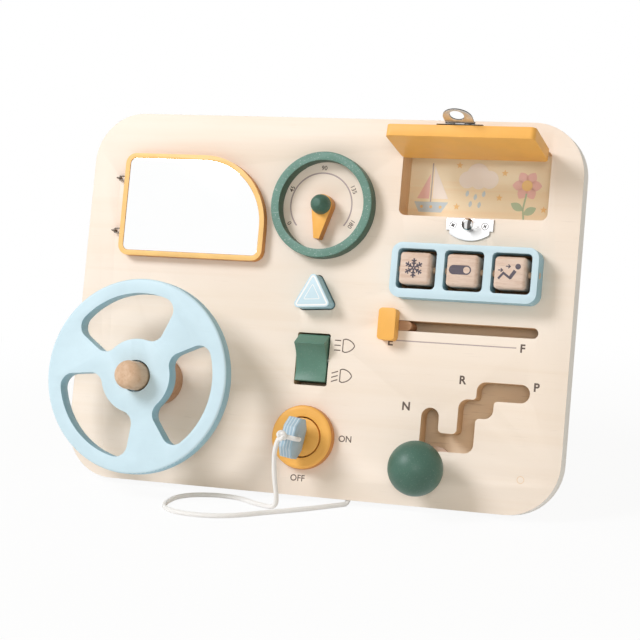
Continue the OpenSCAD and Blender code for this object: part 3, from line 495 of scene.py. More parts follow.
def steel_finish():
    """Nickel plate on pressed steel: painted reflections as bright bands beside dark ones, with
    hairline marks.
    """
    finish = Finish("plated_steel", 0.2, Metallic=1.0)
    marks = finish.noise((900, 120, 300), 3, 0.6)
    bands = finish.noise((28, 95, 95), 1, 0.3, shift=(1, 2, 3), distortion=0.4)
    tint, dark = colour_of("steel"), colour_of("steel_dark")
    finish.feed("Base Color", finish.mix(bands.smooth(0.54, 0.66), tint, dark))
    finish.feed("Roughness", 0.2 + marks * 0.16)
    finish.bump(marks, 0.00002, 0.4)
    return finish.material


def mirror_finish():
    """Silvered acrylic: flat and clear, with the least haze."""
    finish = Finish("mirror_sheet", 0.03, Metallic=1.0)
    haze = finish.noise((30, 30, 30), 2, 0.5)
    finish.feed("Base Color", finish.mix(haze, paint(255, 255, 255), paint(252, 253, 253)))
    finish.feed("Roughness", 0.02 + haze * 0.03)
    return finish.material


def card_finish():
    """The compartment's floor: pale veneer behind the pictures."""
    finish = Finish("compartment_floor", 0.6, Specular_IOR_Level=0.3)
    light, dark = paint(255, 243, 214), paint(252, 230, 194)
    streaks = finish.noise((5, 130, 60), 4, 0.55, shift=(8, 3, 1), distortion=0.5)
    speck = finish.noise((300, 900, 300), 2, 0.5)
    tone = streaks.smooth(0.4, 0.75) * 0.7 + speck.smooth(0.6, 0.8) * 0.2
    finish.feed("Base Color", finish.mix(tone, light, dark))
    finish.bump(streaks, 0.00005, 0.5)
    return finish.material


# Each ink's colour, and how much of the wood it covers; the picture's inks share one cover
INKS = {
    "grey_ink": ("ink", 0.86),
    "line_ink": ("line_ink", 0.86),
    "icon_ink": ("icon_ink", 0.94),
    "pit_shade": ("pit", 1.0),
    "white_ink": ("white", 1.0),
}
PICTURE_INKS = {
    "picture_sky": (206, 222, 232),
    "picture_rose": (248, 206, 200),
    "picture_leaf": (190, 212, 184),
    "picture_plum": (196, 186, 190),
    "picture_cream": (255, 248, 240),
    "picture_gold": (250, 214, 152),
}
PICTURE_COVER = 0.95


def printed(name, tint, cover):
    """Ink pressed into wood, which lets a little of the grain through."""
    finish = Finish(name, 0.55, Specular_IOR_Level=0.3)
    grain = finish.noise((60, 900, 500), 3, 0.6)
    lighter = tuple(c * cover + 0.75 * (1 - cover) for c in tint)
    finish.feed("Base Color", finish.mix(grain.smooth(0.5, 0.8), tint, lighter))
    return finish.material


def inked(name, tone, cover):
    return printed(name, colour_of(tone), cover)


def pictured(name, *levels):
    return printed(name, paint(*levels), PICTURE_COVER)


def cord_finish():
    """A round braid: strands that cross in a diamond along the cord's own map."""
    finish = Finish("cord_braid", 0.75, Specular_IOR_Level=0.25, Sheen_Weight=0.3)
    where = finish.node("ShaderNodeUVMap", {"uv_map": "braid"})
    round_, along = (
        finish.node("ShaderNodeSeparateXYZ", {}, {"Vector": where}, side) for side in (0, 1)
    )
    right = ((round_ * 6 + along * 700) * math.tau).wave()
    left = ((round_ * 6 - along * 700) * math.tau).wave()
    weave = (right * left + 1) * 0.5
    tint = colour_of("cord")
    finish.feed("Base Color", finish.mix(weave.smooth(0.1, 0.7), shade(tint, 0.91), tint))
    finish.bump(weave, 0.00016, 0.8)
    return finish.material


FAMILIES = (
    (WOODS, bare_wood),
    (PAINTS, painted),
    (DULL_METALS, dull_metal),
    (INKS, inked),
    (PICTURE_INKS, pictured),
)
FINISHES = {
    "birch": birch_finish,
    "ply_edge": ply_finish,
    "birch_side": side_finish,
    "key_edge": key_edge_finish,
    "plated_steel": steel_finish,
    "satin_steel": satin_finish,
    "stud_steel": stud_finish,
    "mirror_sheet": mirror_finish,
    "compartment_floor": card_finish,
    "cord_braid": cord_finish,
}


def finish_named(name):
    """The finish of that name, made when it is first asked for."""
    made = bpy.data.materials.get(name)
    if made:
        return made
    for family, make in FAMILIES:
        if name in family:
            return make(name, *family[name])
    return FINISHES[name]()


# --- Making pieces ---


def add(name, data):
    """An object of that mesh, curve or lamp, in the scene."""
    made = bpy.data.objects.new(name, data)
    bpy.context.scene.collection.objects.link(made)
    return made


def placed(work, name):
    """An object of that mesh."""
    mesh = bpy.data.meshes.new(name)
    work.to_mesh(mesh)
    work.free()
    return add(name, mesh)


def closed(work, name):
    """An object of that mesh, with its faces turned outwards."""
    bmesh.ops.recalc_face_normals(work, faces=work.faces)
    return placed(work, name)


def wall(work, first, second, count):
    """That many faces between two rows of corners."""
    for i in range(count):
        j = (i + 1) % len(first)
        work.faces.new((first[i], first[j], second[j], second[i]))


def settle(piece):
    """Turns the piece's modifiers into its mesh."""
    graph = bpy.context.evaluated_depsgraph_get()
    made = bpy.data.meshes.new_from_object(
        piece.evaluated_get(graph), preserve_all_data_layers=True, depsgraph=graph
    )
    piece.modifiers.clear()
    piece.data = made
    made.name = piece.name


def smooth(piece, angle):
    """Smooth shading, but for edges sharper than that many degrees."""
    piece.data.shade_smooth()
    piece.data.set_sharp_from_angle(angle=math.radians(angle))


def dress(piece, finish, body, nodes=()):
    """Gives the piece its finish, sets it on its body and hides what it stands for."""
    if finish:
        piece.data.materials.clear()
        piece.data.materials.append(finish_named(finish))
    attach(piece, body)
    if nodes:
        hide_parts(*nodes)
    return piece


# Edges sharper than SHARP are rounded, and ROUNDER pieces that many times as much as their kind.
# TILTED pieces don't lie along the board. Before the rounding, corners nearer than MERGED metres
# are joined, and faces that bend less than FLAT.
SHARP = math.radians(32)
ROUNDER = {"mirror_frame": 1.4, "keeper_plate": 3.2, "key_barrel": 1.2, "key": 3}
TILTED = ("latch_plate", "hasp")
MERGED = 2e-6
FLAT = math.radians(0.3)


def round_edges(piece, edge):
    """Rounds the piece's sharp edges with faces that keep its flat sides flat."""
    piece.data.shade_smooth()
    bevel = piece.modifiers.new("edge", "BEVEL")
    bevel.width = edge
    bevel.segments = bpy.context.scene.busy_sizes.edge_steps
    bevel.limit_method = "ANGLE"
    bevel.angle_limit = SHARP
    bevel.harden_normals = True
    bevel.use_clamp_overlap = True
    settle(piece)


def softened(node, edge, finish, slot, side=None, cuts=(), steep=0.45):
    """A merged copy of a node with its edges rounded; it stands for the node.

    Faces that look sideways may have a finish of their own, down to a slope of steep, which
    paints shade on them as a darker copy of the face's finish, and blocks may be cut away first.
    Sideways is measured from the board's face, or from the piece's own largest face where it is
    one of the TILTED.
    """
    source = frame["nodes"][node]
    work = bmesh.new()
    work.from_mesh(source.data)
    bmesh.ops.remove_doubles(work, verts=work.verts, dist=MERGED)
    bmesh.ops.dissolve_limit(work, angle_limit=FLAT, verts=work.verts, edges=work.edges)
    piece = placed(work, node + "_finished")
    piece.data.materials.clear()
    for cutter in cuts:
        cut = piece.modifiers.new("cut", "BOOLEAN")
        cut.operation = "DIFFERENCE"
        cut.solver = "EXACT"
        cut.object = cutter
        settle(piece)
        bpy.data.objects.remove(cutter)
    round_edges(piece, edge * ROUNDER.get(node, 1))
    dress(piece, finish, source["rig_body"], [node])
    if side:
        piece.data.materials.append(finish_named(side))
        out = (BOARD.to_3x3() @ Vector((0, 0, 1))).normalized()
        if node in TILTED:
            out = max(piece.data.polygons, key=lambda face: face.area).normal.copy()
        for face in piece.data.polygons:
            if abs(out.dot(face.normal)) < steep:
                face.material_index = 1
    return piece


def keep(node, finish):
    """A node whose shape is right stays, with a better finish."""
    source = frame["nodes"][node]
    source.data.materials.clear()
    source.data.materials.append(finish_named(finish))
    return source


def tube(name, path, radius, sides=16):
    """A round tube along points in metres, with closed ends and a map round and along it."""
    work = bmesh.new()
    layer = work.loops.layers.uv.new("braid")
    side = Vector((1, 0.2, 0.1))
    rings, run, lengths = [], 0.0, []
    for i, p in enumerate(path):
        ahead = (path[min(i + 1, len(path) - 1)] - path[max(i - 1, 0)]).normalized()
        side = (side - ahead * side.dot(ahead)).normalized()
        up = ahead.cross(side)
        run += (p - path[i - 1]).length if i else 0.0
        lengths.append(run)
        turns = [math.tau * k / sides for k in range(sides)]
        rings.append(
            [work.verts.new(p + radius * (math.cos(a) * side + math.sin(a) * up)) for a in turns]
        )
    for i in range(len(rings) - 1):
        for k in range(sides):
            n = (k + 1) % sides
            face = work.faces.new((rings[i][k], rings[i][n], rings[i + 1][n], rings[i + 1][k]))
            spots = ((k, i), (k + 1, i), (k + 1, i + 1), (k, i + 1))
            for loop, (across, along) in zip(face.loops, spots):
                loop[layer].uv = (across / sides, lengths[along])
    work.faces.new(list(reversed(rings[0])))
    work.faces.new(rings[-1])
    piece = closed(work, name)
    smooth(piece, 60)
    return piece


BETWEEN_KNOTS = 24


def smooth_path(points, step):
    """Points a step apart on a smooth curve through the given ones."""
    knots = [Vector(p) for p in points]
    knots = [2 * knots[0] - knots[1], *knots, 2 * knots[-1] - knots[-2]]
    dense = []
    for p0, p1, p2, p3 in zip(knots, knots[1:], knots[2:], knots[3:]):
        for i in range(BETWEEN_KNOTS):
            t = i / BETWEEN_KNOTS
            dense.append(
                0.5
                * (
                    2 * p1
                    + (p2 - p0) * t
                    + (2 * p0 - 5 * p1 + 4 * p2 - p3) * t * t
                    + (3 * p1 - p0 - 3 * p2 + p3) * t**3
                )
            )
    dense.append(knots[-2])
    path, carried = [dense[0]], 0.0
    for a, b in zip(dense, dense[1:]):
        carried += (b - a).length
        if carried >= step:
            path.append(b)
            carried = 0.0
    if (path[-1] - dense[-1]).length > step * 0.3:
        path.append(dense[-1])
    return path


BLOCK_STEPS = 5


def block(name, centre, size, edge):
    """A box on the board with all its edges rounded."""
    work = bmesh.new()
    bmesh.ops.create_cube(work, size=1)
    for v in work.verts:
        v.co = Vector(centre) + Vector([v.co[i] * size[i] for i in range(3)])
    bmesh.ops.bevel(
        work, geom=work.edges[:], offset=edge, segments=BLOCK_STEPS, profile=0.5, affect="EDGES"
    )
    for v in work.verts:
        v.co = BOARD @ v.co
    piece = closed(work, name)
    smooth(piece, 30)
    return piece


class Pattern:
    """A Geometry Nodes tree that repeats a part, with named inputs for its sizes."""

    def __init__(self, name, inputs):
        self.tree = bpy.data.node_groups.new(name, "GeometryNodeTree")
        shape = self.tree.interface
        shape.new_socket("Geometry", in_out="INPUT", socket_type="NodeSocketGeometry")
        for label, kind in inputs:
            shape.new_socket(label, in_out="INPUT", socket_type=kind)
        shape.new_socket("Geometry", in_out="OUTPUT", socket_type="NodeSocketGeometry")
        self.given = self.tree.nodes.new("NodeGroupInput").outputs

    def node(self, kind, settings=None, sockets=None, output=0):
        return add_node(self.tree, kind, settings, sockets).outputs[output]

    def end(self, shape):
        """Realizes what was repeated and gives it its material."""
        real = self.node("GeometryNodeRealizeInstances", {}, {"Geometry": shape})
        sockets = {"Geometry": real, "Material": self.given["Material"]}
        dressed = self.node("GeometryNodeSetMaterial", {}, sockets)
        self.tree.links.new(dressed, self.tree.nodes.new("NodeGroupOutput").inputs[0])

    def grown(self, name, points, place, **values):
        """The pattern on those points, as a plain mesh set in its place."""
        mesh = bpy.data.meshes.new(name)
        mesh.from_pydata([tuple(p) for p in points], [], [])
        piece = add(name, mesh)
        modifier = piece.modifiers.new("pattern", "NODES")
        modifier.node_group = self.tree
        for item in self.tree.interface.items_tree:
            if item.in_out == "INPUT" and item.name in values:
                modifier[item.identifier] = values[item.name]
        settle(piece)
        piece.data.transform(place)
        return piece


def repeated(name, part, places, turn, finish, place):
    """The part on each of those places, each turned on from the last by the same angle."""
    inputs = [("Part", "NodeSocketObject"), ("Material", "NodeSocketMaterial")]
    tree = Pattern(name, [*inputs, ("Turn", "NodeSocketFloat")])
    shape = tree.node("GeometryNodeObjectInfo", {}, {"Object": tree.given["Part"]}, "Geometry")
    number = tree.node("GeometryNodeInputIndex")
    sockets = {0: number, 1: tree.given["Turn"]}
    turned_by = tree.node("ShaderNodeMath", {"operation": "MULTIPLY"}, sockets)
    swing = tree.node("ShaderNodeCombineXYZ", {}, {"Z": turned_by})
    sockets = {"Points": tree.given["Geometry"], "Instance": shape, "Rotation": swing}
    tree.end(tree.node("GeometryNodeInstanceOnPoints", {}, sockets))
    values = {"Part": part, "Material": finish_named(finish), "Turn": turn}
    piece = tree.grown(name, places, place, **values)
    bpy.data.objects.remove(part)
    return piece


# A screw's turn from the last one in radians, and shares of its head's radius: the length and
# half the width of its cross's arms, and the radius of its shank
SCREW_TURN = 0.55
CROSS_ARM = 0.62
CROSS_HALF = 0.13
SHANK_SHARE = 0.5
SCREW_STEPS = 32


def repeated_screws(name, places, head, cone, pit, shank, place=BOARD):
    """Cross-headed screws on those places, each turned by its own amount."""
    part = screw_head(head, cone, pit, shank)
    return repeated(name, part, places, SCREW_TURN, "plated_steel", place)


def screw_head(head, cone, pit, shank):
    """One screw, its head's face at height 0, with a cross pressed into it."""
    work = bmesh.new()
    arm, half = head * CROSS_ARM, head * CROSS_HALF
    cross = [(arm, -half), (arm, half), (half, half), (half, arm), (-half, arm), (-half, half)]
    cross += [(-x, -y) for x, y in cross]

    def loop_of(points, height):
        return [work.verts.new((x, y, height)) for x, y in points]

    def circle(radius):
        turns = [math.tau * i / SCREW_STEPS for i in range(SCREW_STEPS)]
        return [around((0, 0), radius, a) for a in turns]

    rim = loop_of(circle(head), 0)
    neck = loop_of(circle(head * SHANK_SHARE), -cone)
    tip = loop_of(circle(head * SHANK_SHARE), -shank)
    mouth, floor = loop_of(cross, 0), loop_of(cross, -pit)
    for first, second in ((rim, neck), (neck, tip), (mouth, floor)):
        wall(work, first, second, len(first))
    work.faces.new(tip)
    work.faces.new(floor)
    edges = [
        work.edges.get((ring[i], ring[(i + 1) % len(ring)]))
        for ring in (rim, mouth)
        for i in range(len(ring))
    ]
    bmesh.ops.triangle_fill(work, use_beauty=True, edges=edges)
    return closed(work, "screw")


# --- Printed marks ---

# How deep a mark reaches into its face in millimetres, the least cosine that a ribbon's corner
# is stretched by, which keeps sharp corners short, and the straight pieces of an arc
INK_DEPTH = 0.03
MITRE_LEAST = 0.35
ARC_STEPS = 64


class Ink:
    """Marks printed on one face: ribbons, filled shapes and words, made as one thin mesh."""

    def __init__(self, level, place=BOARD):
        self.work = bmesh.new()
        self.low = level - INK_DEPTH
        self.high = level + bpy.context.scene.busy_sizes.print_height / MM
        self.place = place

    def corners(self, points, height):
        return [self.work.verts.new(self.place @ Vector((*p, height))) for p in points]

    def fill(self, points):
        top, foot = self.corners(points, self.high), self.corners(points, self.low)
        self.work.faces.new(top)
        self.work.faces.new(foot[::-1])
        wall(self.work, foot, top, len(points))

    def line(self, points, width, looped=False):
        """A ribbon along the points, mitred at its corners; looped ends where it starts."""
        p = [Vector(q) for q in points]
        last = len(p) - 1
        left, right = [], []
        for i, here in enumerate(p):
            back = p[i - 1] if i or looped else here
            ahead = p[(i + 1) % len(p)] if i < last or looped else here
            into = (here - back).normalized() if here != back else (ahead - here).normalized()
            out = (ahead - here).normalized() if ahead != here else into
            bend = (into + out).normalized()
            across = Vector((-bend.y, bend.x))
            reach = width / 2 / max(MITRE_LEAST, across.dot(Vector((-into.y, into.x))))
            left.append(here + across * reach)
            right.append(here - across * reach)
        rails = [
            self.corners(side, height)
            for height in (self.high, self.low)
            for side in (left, right)
        ]
        high_left, high_right, low_left, low_right = rails
        for first, second in (
            (high_right, high_left),
            (high_left, low_left),
            (low_left, low_right),
            (low_right, high_right),
        ):
            wall(self.work, first, second, len(p) if looped else last)
        if not looped:
            for i in (0, last):
                self.work.faces.new((high_left[i], high_right[i], low_right[i], low_left[i]))

    def arc(self, centre, radius, start, end, width):
        angles = [start + (end - start) * i / ARC_STEPS for i in range(ARC_STEPS + 1)]
        self.line([around(centre, radius, math.radians(a)) for a in angles], width)

    def ring(self, centre, radius, width, steps):
        angles = [math.tau * i / steps for i in range(steps)]
        self.line([around(centre, radius, a) for a in angles], width, looped=True)

    def dot(self, centre, radius, steps=32):
        self.fill([around(centre, radius, math.tau * i / steps) for i in range(steps)])

    def word(self, text, height, centre, turn, weight):
        """Letters of that height, centred on a point, turned in degrees and thickened by weight."""
        letters = bpy.data.curves.new("letters", "FONT")
        letters.body = text
        letters.resolution_u = 6
        letters.extrude = 0.01
        letters.offset = weight
        shape = add("letters", letters)
        graph = bpy.context.evaluated_depsgraph_get()
        mesh = bpy.data.meshes.new_from_object(shape.evaluated_get(graph), depsgraph=graph)
        spots = [v.co for v in mesh.vertices]
        low = [min(s[i] for s in spots) for i in range(2)]
        high = [max(s[i] for s in spots) for i in range(2)]
        grow = height / (high[1] - low[1])
        mid = Vector(((low[0] + high[0]) / 2, (low[1] + high[1]) / 2, 0))
        swing = Matrix.Rotation(math.radians(turn), 3, "Z")
        for v in mesh.vertices:
            flat = swing @ ((Vector((v.co.x, v.co.y, 0)) - mid) * grow)
            level = self.high if v.co.z > 0 else self.low
            v.co = self.place @ Vector((centre[0] + flat.x, centre[1] + flat.y, level))
        self.work.from_mesh(mesh)
        bpy.data.objects.remove(shape)
        bpy.data.meshes.remove(mesh)

    def made(self, name, finish, slot, body):
        dress(closed(self.work, name), finish, body)


def around(centre, radius, angle):
    """The point of a circle at that angle in radians."""
    return (centre[0] + radius * math.cos(angle), centre[1] + radius * math.sin(angle))


# --- Stage ---

# The camera's place in metres, its directions, and its lens and sensor in millimetres
CAMERA_AT = Vector((0.50041, -1.35911, 0.37885))
CAMERA_RIGHT = Vector((0.9386, 0.3451, 0.0))
CAMERA_AHEAD = Vector((-0.3403, 0.9254, -0.1667))
CAMERA_LENS = 107.07
CAMERA_SENSOR = 36

# Each lamp's name, place and diameter in metres, power in watts, and tint
LAMPS = (
    ("window", (-1.6, -1.6, 2.0), 1.2, 51, (0.985, 1.0, 1.05)),
    ("front", (0.95, -2.6, 0.95), 0.6, 11, (1.0, 1.0, 1.0)),
)
LAMPS_AIM = Vector((0, 0, 0.15))
WORLD_TINT = (1, 0.93, 0.76)
WORLD_STRENGTH = 0.35
WHITE = (1, 1, 1)

# The floor's half width in metres and its matt tone. As the camera sees it, it is FLOOR_WHITE[0]
# white up to FLOOR_FADE[0] metres from the middle, and FLOOR_WHITE[1] from FLOOR_FADE[1] on.
FLOOR_REACH = 12
FLOOR_TONE = (0.93, 0.93, 0.93)
FLOOR_FADE = (0.3, 0.75)
FLOOR_WHITE = (0.93, 1.0)


class BUSY_OT_stage(Operator):
    """Sets the camera, the lamps, the pale floor and the white surroundings"""

    bl_idname = "busy.stage"
    bl_label = "Stage"

    def execute(self, context):
        self.camera(context.scene)
        self.surroundings(context.scene)
        for lamp in LAMPS:
            self.lamp(*lamp)
        self.floor()
        context.scene.view_settings.view_transform = "Standard"
        return {"FINISHED"}

    def camera(self, scene):
        data = bpy.data.cameras.new("camera")
        data.lens = CAMERA_LENS
        data.sensor_width = CAMERA_SENSOR
        data.clip_start = 0.05
        data.clip_end = 60
        camera = bpy.data.objects.new("camera", data)
        scene.collection.objects.link(camera)
        ahead = CAMERA_AHEAD.normalized()
        right = (CAMERA_RIGHT - ahead * CAMERA_RIGHT.dot(ahead)).normalized()
        up = right.cross(ahead)
        turn = Matrix((right, up, -ahead)).transposed().to_4x4()
        camera.matrix_world = Matrix.Translation(CAMERA_AT) @ turn
        scene.camera = camera

    def lamp(self, name, at, size, power, tint):
        data = bpy.data.lights.new(name, "AREA")
        data.shape = "DISK"
        data.size = size
        data.energy = power
        data.color = tint
        lamp = add(name, data)
        lamp.location = at
        lamp.rotation_euler = (LAMPS_AIM - Vector(at)).to_track_quat("-Z", "Y").to_euler()

    def seen(self, tree):
        """1 for rays that look straight at a surface, by way of a mirror or through glass."""
        path = add_node(tree, "ShaderNodeLightPath").outputs
        total = path["Is Camera Ray"]
        for name in ("Is Glossy Ray", "Is Transmission Ray"):
            sockets = {0: total, 1: path[name]}
            total = add_node(tree, "ShaderNodeMath", {"operation": "MAXIMUM"}, sockets).outputs[0]
        return total

    def joined(self, tree, share, first, second, end):
        """Mixes two shaders by that share and ends the tree with them."""
        sockets = {0: share, 1: first.outputs[0], 2: second.outputs[0]}
        join = add_node(tree, "ShaderNodeMixShader", {}, sockets)
        add_node(tree, end, {}, {"Surface": join.outputs[0]})

    def surroundings(self, scene):
        """A dim warm world for the board, which is white where it is seen."""
        world = bpy.data.worlds.new("surroundings")
        world.use_nodes = True
        tree = world.node_tree
        tree.nodes.clear()
        sockets = {"Color": WORLD_TINT, "Strength": WORLD_STRENGTH}
        light = add_node(tree, "ShaderNodeBackground", {}, sockets)
        white = add_node(tree, "ShaderNodeBackground", {}, {"Color": WHITE, "Strength": 1})
        self.joined(tree, self.seen(tree), light, white, "ShaderNodeOutputWorld")
        scene.world = world

    def floor(self):
        """A matt floor that takes shadows, and fades to white away from the board."""
        mesh = bpy.data.meshes.new("floor")
        corners = [(-1, -1, 0), (1, -1, 0), (1, 1, 0), (-1, 1, 0)]
        corners = [(x * FLOOR_REACH, y * FLOOR_REACH, z) for x, y, z in corners]
        mesh.from_pydata(corners, [], [(0, 1, 2, 3)])
        floor = add("floor", mesh)
        material = bpy.data.materials.new("pale_floor")
        material.use_nodes = True
        tree = material.node_tree
        tree.nodes.clear()
        matt = add_node(tree, "ShaderNodeBsdfDiffuse", {}, {"Color": FLOOR_TONE})
        glow = add_node(tree, "ShaderNodeEmission", {}, {"Strength": 1})
        where = add_node(tree, "ShaderNodeTexCoord").outputs["Object"]
        away = add_node(tree, "ShaderNodeVectorMath", {"operation": "LENGTH"}, {0: where})
        steps = dict(enumerate((away.outputs["Value"], *FLOOR_FADE, *FLOOR_WHITE)))
        rise = add_node(tree, "ShaderNodeMapRange", {"interpolation_type": "SMOOTHSTEP"}, steps)
        sockets = {0: self.seen(tree), 1: rise.outputs["Result"]}
        share = add_node(tree, "ShaderNodeMath", {"operation": "MULTIPLY"}, sockets)
        self.joined(tree, share.outputs[0], matt, glow, "ShaderNodeOutputMaterial")
        mesh.materials.append(material)


# --- Groups of pieces ---


class Group:
    """What the groups share: nodes with rounded edges, nodes that keep their shape, and the rest.

    A row of rounded is a node, the kind of its edge, its finish, its slot and, where its sides
    have their own, their finish, which paints shade on them. A row of kept is a node, its finish
    and its slot.
    """

    rounded = ()
    kept = ()

    def execute(self, context):
        sizes = context.scene.busy_sizes
        for node, kind, *looks in self.rounded:
            softened(node, getattr(sizes, kind + "_edge"), *looks)
        for node, finish, slot in self.kept:
            keep(node, finish)
        self.rest(sizes)
        return {"FINISHED"}

    def rest(self, sizes):
        """What a group has besides its rows; some have nothing."""


# --- The cord ---

# The cord's way from its bore, over the floor, to its knot in millimetres: x across, y towards
# the back from the middle of the panel's face, z up from the floor. CORD_FLOOR is the height of
# the cord's middle where it lies.
CORD_FLOOR = 1.9
CORD_LEAVES = (
    (40.4, -28.8, 10.3), (38.7, -32.7, 6.1), (37, -36.6, 1.95),
)  # fmt: skip
CORD_LIES = (
    (33, -41), (27, -47), (20, -54), (12, -61.4), (3, -69), (-6, -76), (-14, -82.6), (-22, -89.6),
    (-31, -96), (-40, -100.2), (-50, -102.6), (-60, -103), (-70, -101.8), (-79, -98.6),
    (-86, -93.4), (-90, -87), (-92, -80), (-92.4, -72), (-91.6, -64.4), (-88, -57.4), (-82, -52),
    (-74, -48.6), (-64, -46.6), (-54, -47), (-45, -49), (-37, -53), (-30, -57.4), (-23, -60.6),
    (-16.5, -63.2),
)  # fmt: skip
CORD_RISES = (
    (-11, -65.4, CORD_FLOOR + 0.9), (-7.6, -67, 6.5), (-7.1, -68, 14), (-7.9, -68.6, 24),
    (-8.2, -69, 34), (-7.8, -69.4, 44), (-6.6, -69.4, 50.5), (-4.9, -69.2, 55.2),
    (-2.9, -69.3, 58),
)  # fmt: skip
CORD_ROUTE = (*CORD_LEAVES, *((x, y, CORD_FLOOR) for x, y in CORD_LIES), *CORD_RISES)

# In metres: the cord's step from point to point, and its gap from the floor
CORD_STEP = 0.0016
CORD_GAP = 0.00006

# The knot: its thickest strand in millimetres, its points, how often the strand weaves in and
# out on each turn and by what share of its reach, and the step along it in metres. Then the
# bend of the loop's corners in millimetres.
KNOT_STRAND = 1.45
KNOT_POINTS = 48
KNOT_WEAVES = 1.5
KNOT_SWING = 0.28
KNOT_STEP = 0.0006
LOOP_BEND = 3


class BUSY_OT_cord(Group, Operator):
    """Lays the key's cord from its bore in the panel to its knot, with the loop through the key"""

    bl_idname = "busy.cord"
    bl_label = "Cord"

    def rest(self, sizes):
        shift = Vector((0, BOARD.translation.y, 0))
        path = smooth_path([Vector(p) * MM + shift for p in CORD_ROUTE], CORD_STEP)
        for p in path:
            p.z = max(p.z, sizes.cord_diameter / 2 + CORD_GAP)
        line = tube("key_line", path, sizes.cord_diameter / 2)
        line.data.materials.append(finish_named("cord_braid"))
        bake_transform(line)
        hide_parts("cord_drop", "key_cord")
        knot = self.knot(sizes)
        loop = self.loop(sizes)
        run = sum((b - a).length for a, b in zip(path, path[1:]))

    def knot(self, sizes):
        """An overhand knot: one strand wound over itself, inside the room its solid holds."""
        low, high = span("cord_knot")
        mid, radius = (low + high) / 2, (high.x - low.x) / 2
        strand = min(sizes.cord_diameter / MM / 2, KNOT_STRAND)
        reach = radius - strand
        points = []
        for i in range(KNOT_POINTS + 1):
            a = math.tau * i / KNOT_POINTS * 2
            out = reach * (1 - KNOT_SWING + KNOT_SWING * math.cos(a * KNOT_WEAVES))
            rise = (high.z - low.z - 2 * strand) / 2 * math.sin(a * KNOT_WEAVES)
            points.append(BOARD @ Vector((*around(mid, out, a), mid.z + rise)))
        path = smooth_path(points, KNOT_STEP)
        piece = tube("knot_turns", path, strand * MM, 12)
        return dress(piece, "cord_braid", "cord_carrier", ["cord_knot"])

    def loop(self, sizes):
        """The loop that goes through the key's bow."""
        place = key_place()
        low, high = span("key_loop", place)
        half = sizes.cord_diameter / MM / 2
        y = (low.y + high.y) / 2
        left, right, back, front = low.x + half, high.x - half, low.z + half, high.z - half
        bend = LOOP_BEND
        points = []
        for cx, cz, start in (
            (right - bend, front - bend, 0),
            (left + bend, front - bend, 90),
            (left + bend, back + bend, 180),
            (right - bend, back + bend, 270),
        ):
            for i in range(9):
                a = math.radians(start + 90 * i / 8)
                x, z = around((cx, cz), bend, a)
                points.append(place @ Vector((x, y, z)))
        points.append(points[0] + (points[1] - points[0]) * 0.5)
        piece = tube("loop_through_key", points, half * MM)
        body = frame["nodes"]["key_loop"]["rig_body"]
        return dress(piece, "cord_braid", body, ["key_loop"])


# --- Board and stand ---

# How far a sawn face must lie from the panel's middle to belong to its outer edge, and the share
# of a normal that has to point out of a piece's flat side, or else the face is an edge
PANEL_RIM = (185, 134)
EDGE_ON = 0.5

# The gap between a plug and the middle of its seam, and the seam's width
SEAM_GAP = 0.12
SEAM_WIDTH = 0.35

# The back cover's outer face, and its screws' places beside and above the middle, each of which
# is mirrored to all four quarters
COVER_BACK = -27
COVER_SCREWS = ((57.1, 137), (191, 58.4))

# A cover screw's head radius, its cone's and its cross's depth, and its length
COVER_SCREW = (2.95, 1.5, 1.5, 9.5)


class BUSY_OT_panel(Group, Operator):
    """Makes the front panel with its sawn openings and the plugs over its lower screws"""

    bl_idname = "busy.panel"
    bl_label = "Front panel"
    kept = (
        ("foot_plugs", "birch", "raw_wood"),
    )

    def rest(self, sizes):
        panel = softened("front_panel", sizes.panel_edge, "birch", "pale_wood")
        panel.data.materials.append(finish_named("ply_edge"))
        # The outer edge's near-white finish is partly painted highlight
        panel.data.materials.append(finish_named("birch_side"))
        back = BOARD.inverted()
        turn = back.to_3x3()
        for face in panel.data.polygons:
            facing = (turn @ face.normal).normalized()
            if abs(facing.z) < EDGE_ON:
                face.material_index = 2 if self.outside(back @ face.center) else 1
        low, high = span("foot_plugs")
        radius = (high.y - low.y) / 2
        seams = Ink(high.z)
        seams.ring((high.x - radius, (low.y + high.y) / 2), radius + SEAM_GAP, SEAM_WIDTH, 40)
        seams.made("plug_seam", "ply_edge", "pale_wood", "board")

    def outside(self, at):
        return abs(at.x) > PANEL_RIM[0] or abs(at.y) > PANEL_RIM[1]


class BUSY_OT_stand(Group, Operator):
    """Makes the frame behind the panel, the back cover, the feet and their screws"""

    bl_idname = "busy.stand"
    bl_label = "Back and feet"
    rounded = (
        ("rear_frame", "wood", "beech", "raw_wood"),
        ("back_cover", "wood", "gate_floor", "raw_wood"),
        ("left_foot", "wood", "birch", "pale_wood"),
        ("right_foot", "wood", "birch", "pale_wood"),
    )
    kept = (
        ("foot_screws", "plated_steel", "steel"),
        ("panel_screws", "plated_steel", "steel"),
    )

    def rest(self, sizes):
        signs = [(x, y) for x in (-1, 1) for y in (-1, 1)]
        places = [Vector((-x * across, y * up, 0)) for across, up in COVER_SCREWS for x, y in signs]
        rear = Matrix.Translation((0, 0, COVER_BACK)) @ Matrix.Rotation(math.pi, 4, "Y")
        screws = repeated_screws("cover_screws_finished", places, *COVER_SCREW, BOARD @ rear)
        dress(screws, "plated_steel", "board", ["cover_screws"])


# --- What turns, slides and opens ---


class BUSY_OT_wheel(Group, Operator):
    """Makes the steering wheel, its spacer and its peg"""

    bl_idname = "busy.wheel"
    bl_label = "Steering wheel"
    rounded = (
        ("steering_wheel", "wood", "sky_paint", "sky_wood", "sky_side"),
        ("hub_spacer", "fine", "worn_beech", "raw_wood"),
        ("hub_peg", "fine", "beech_end", "raw_wood"),
    )


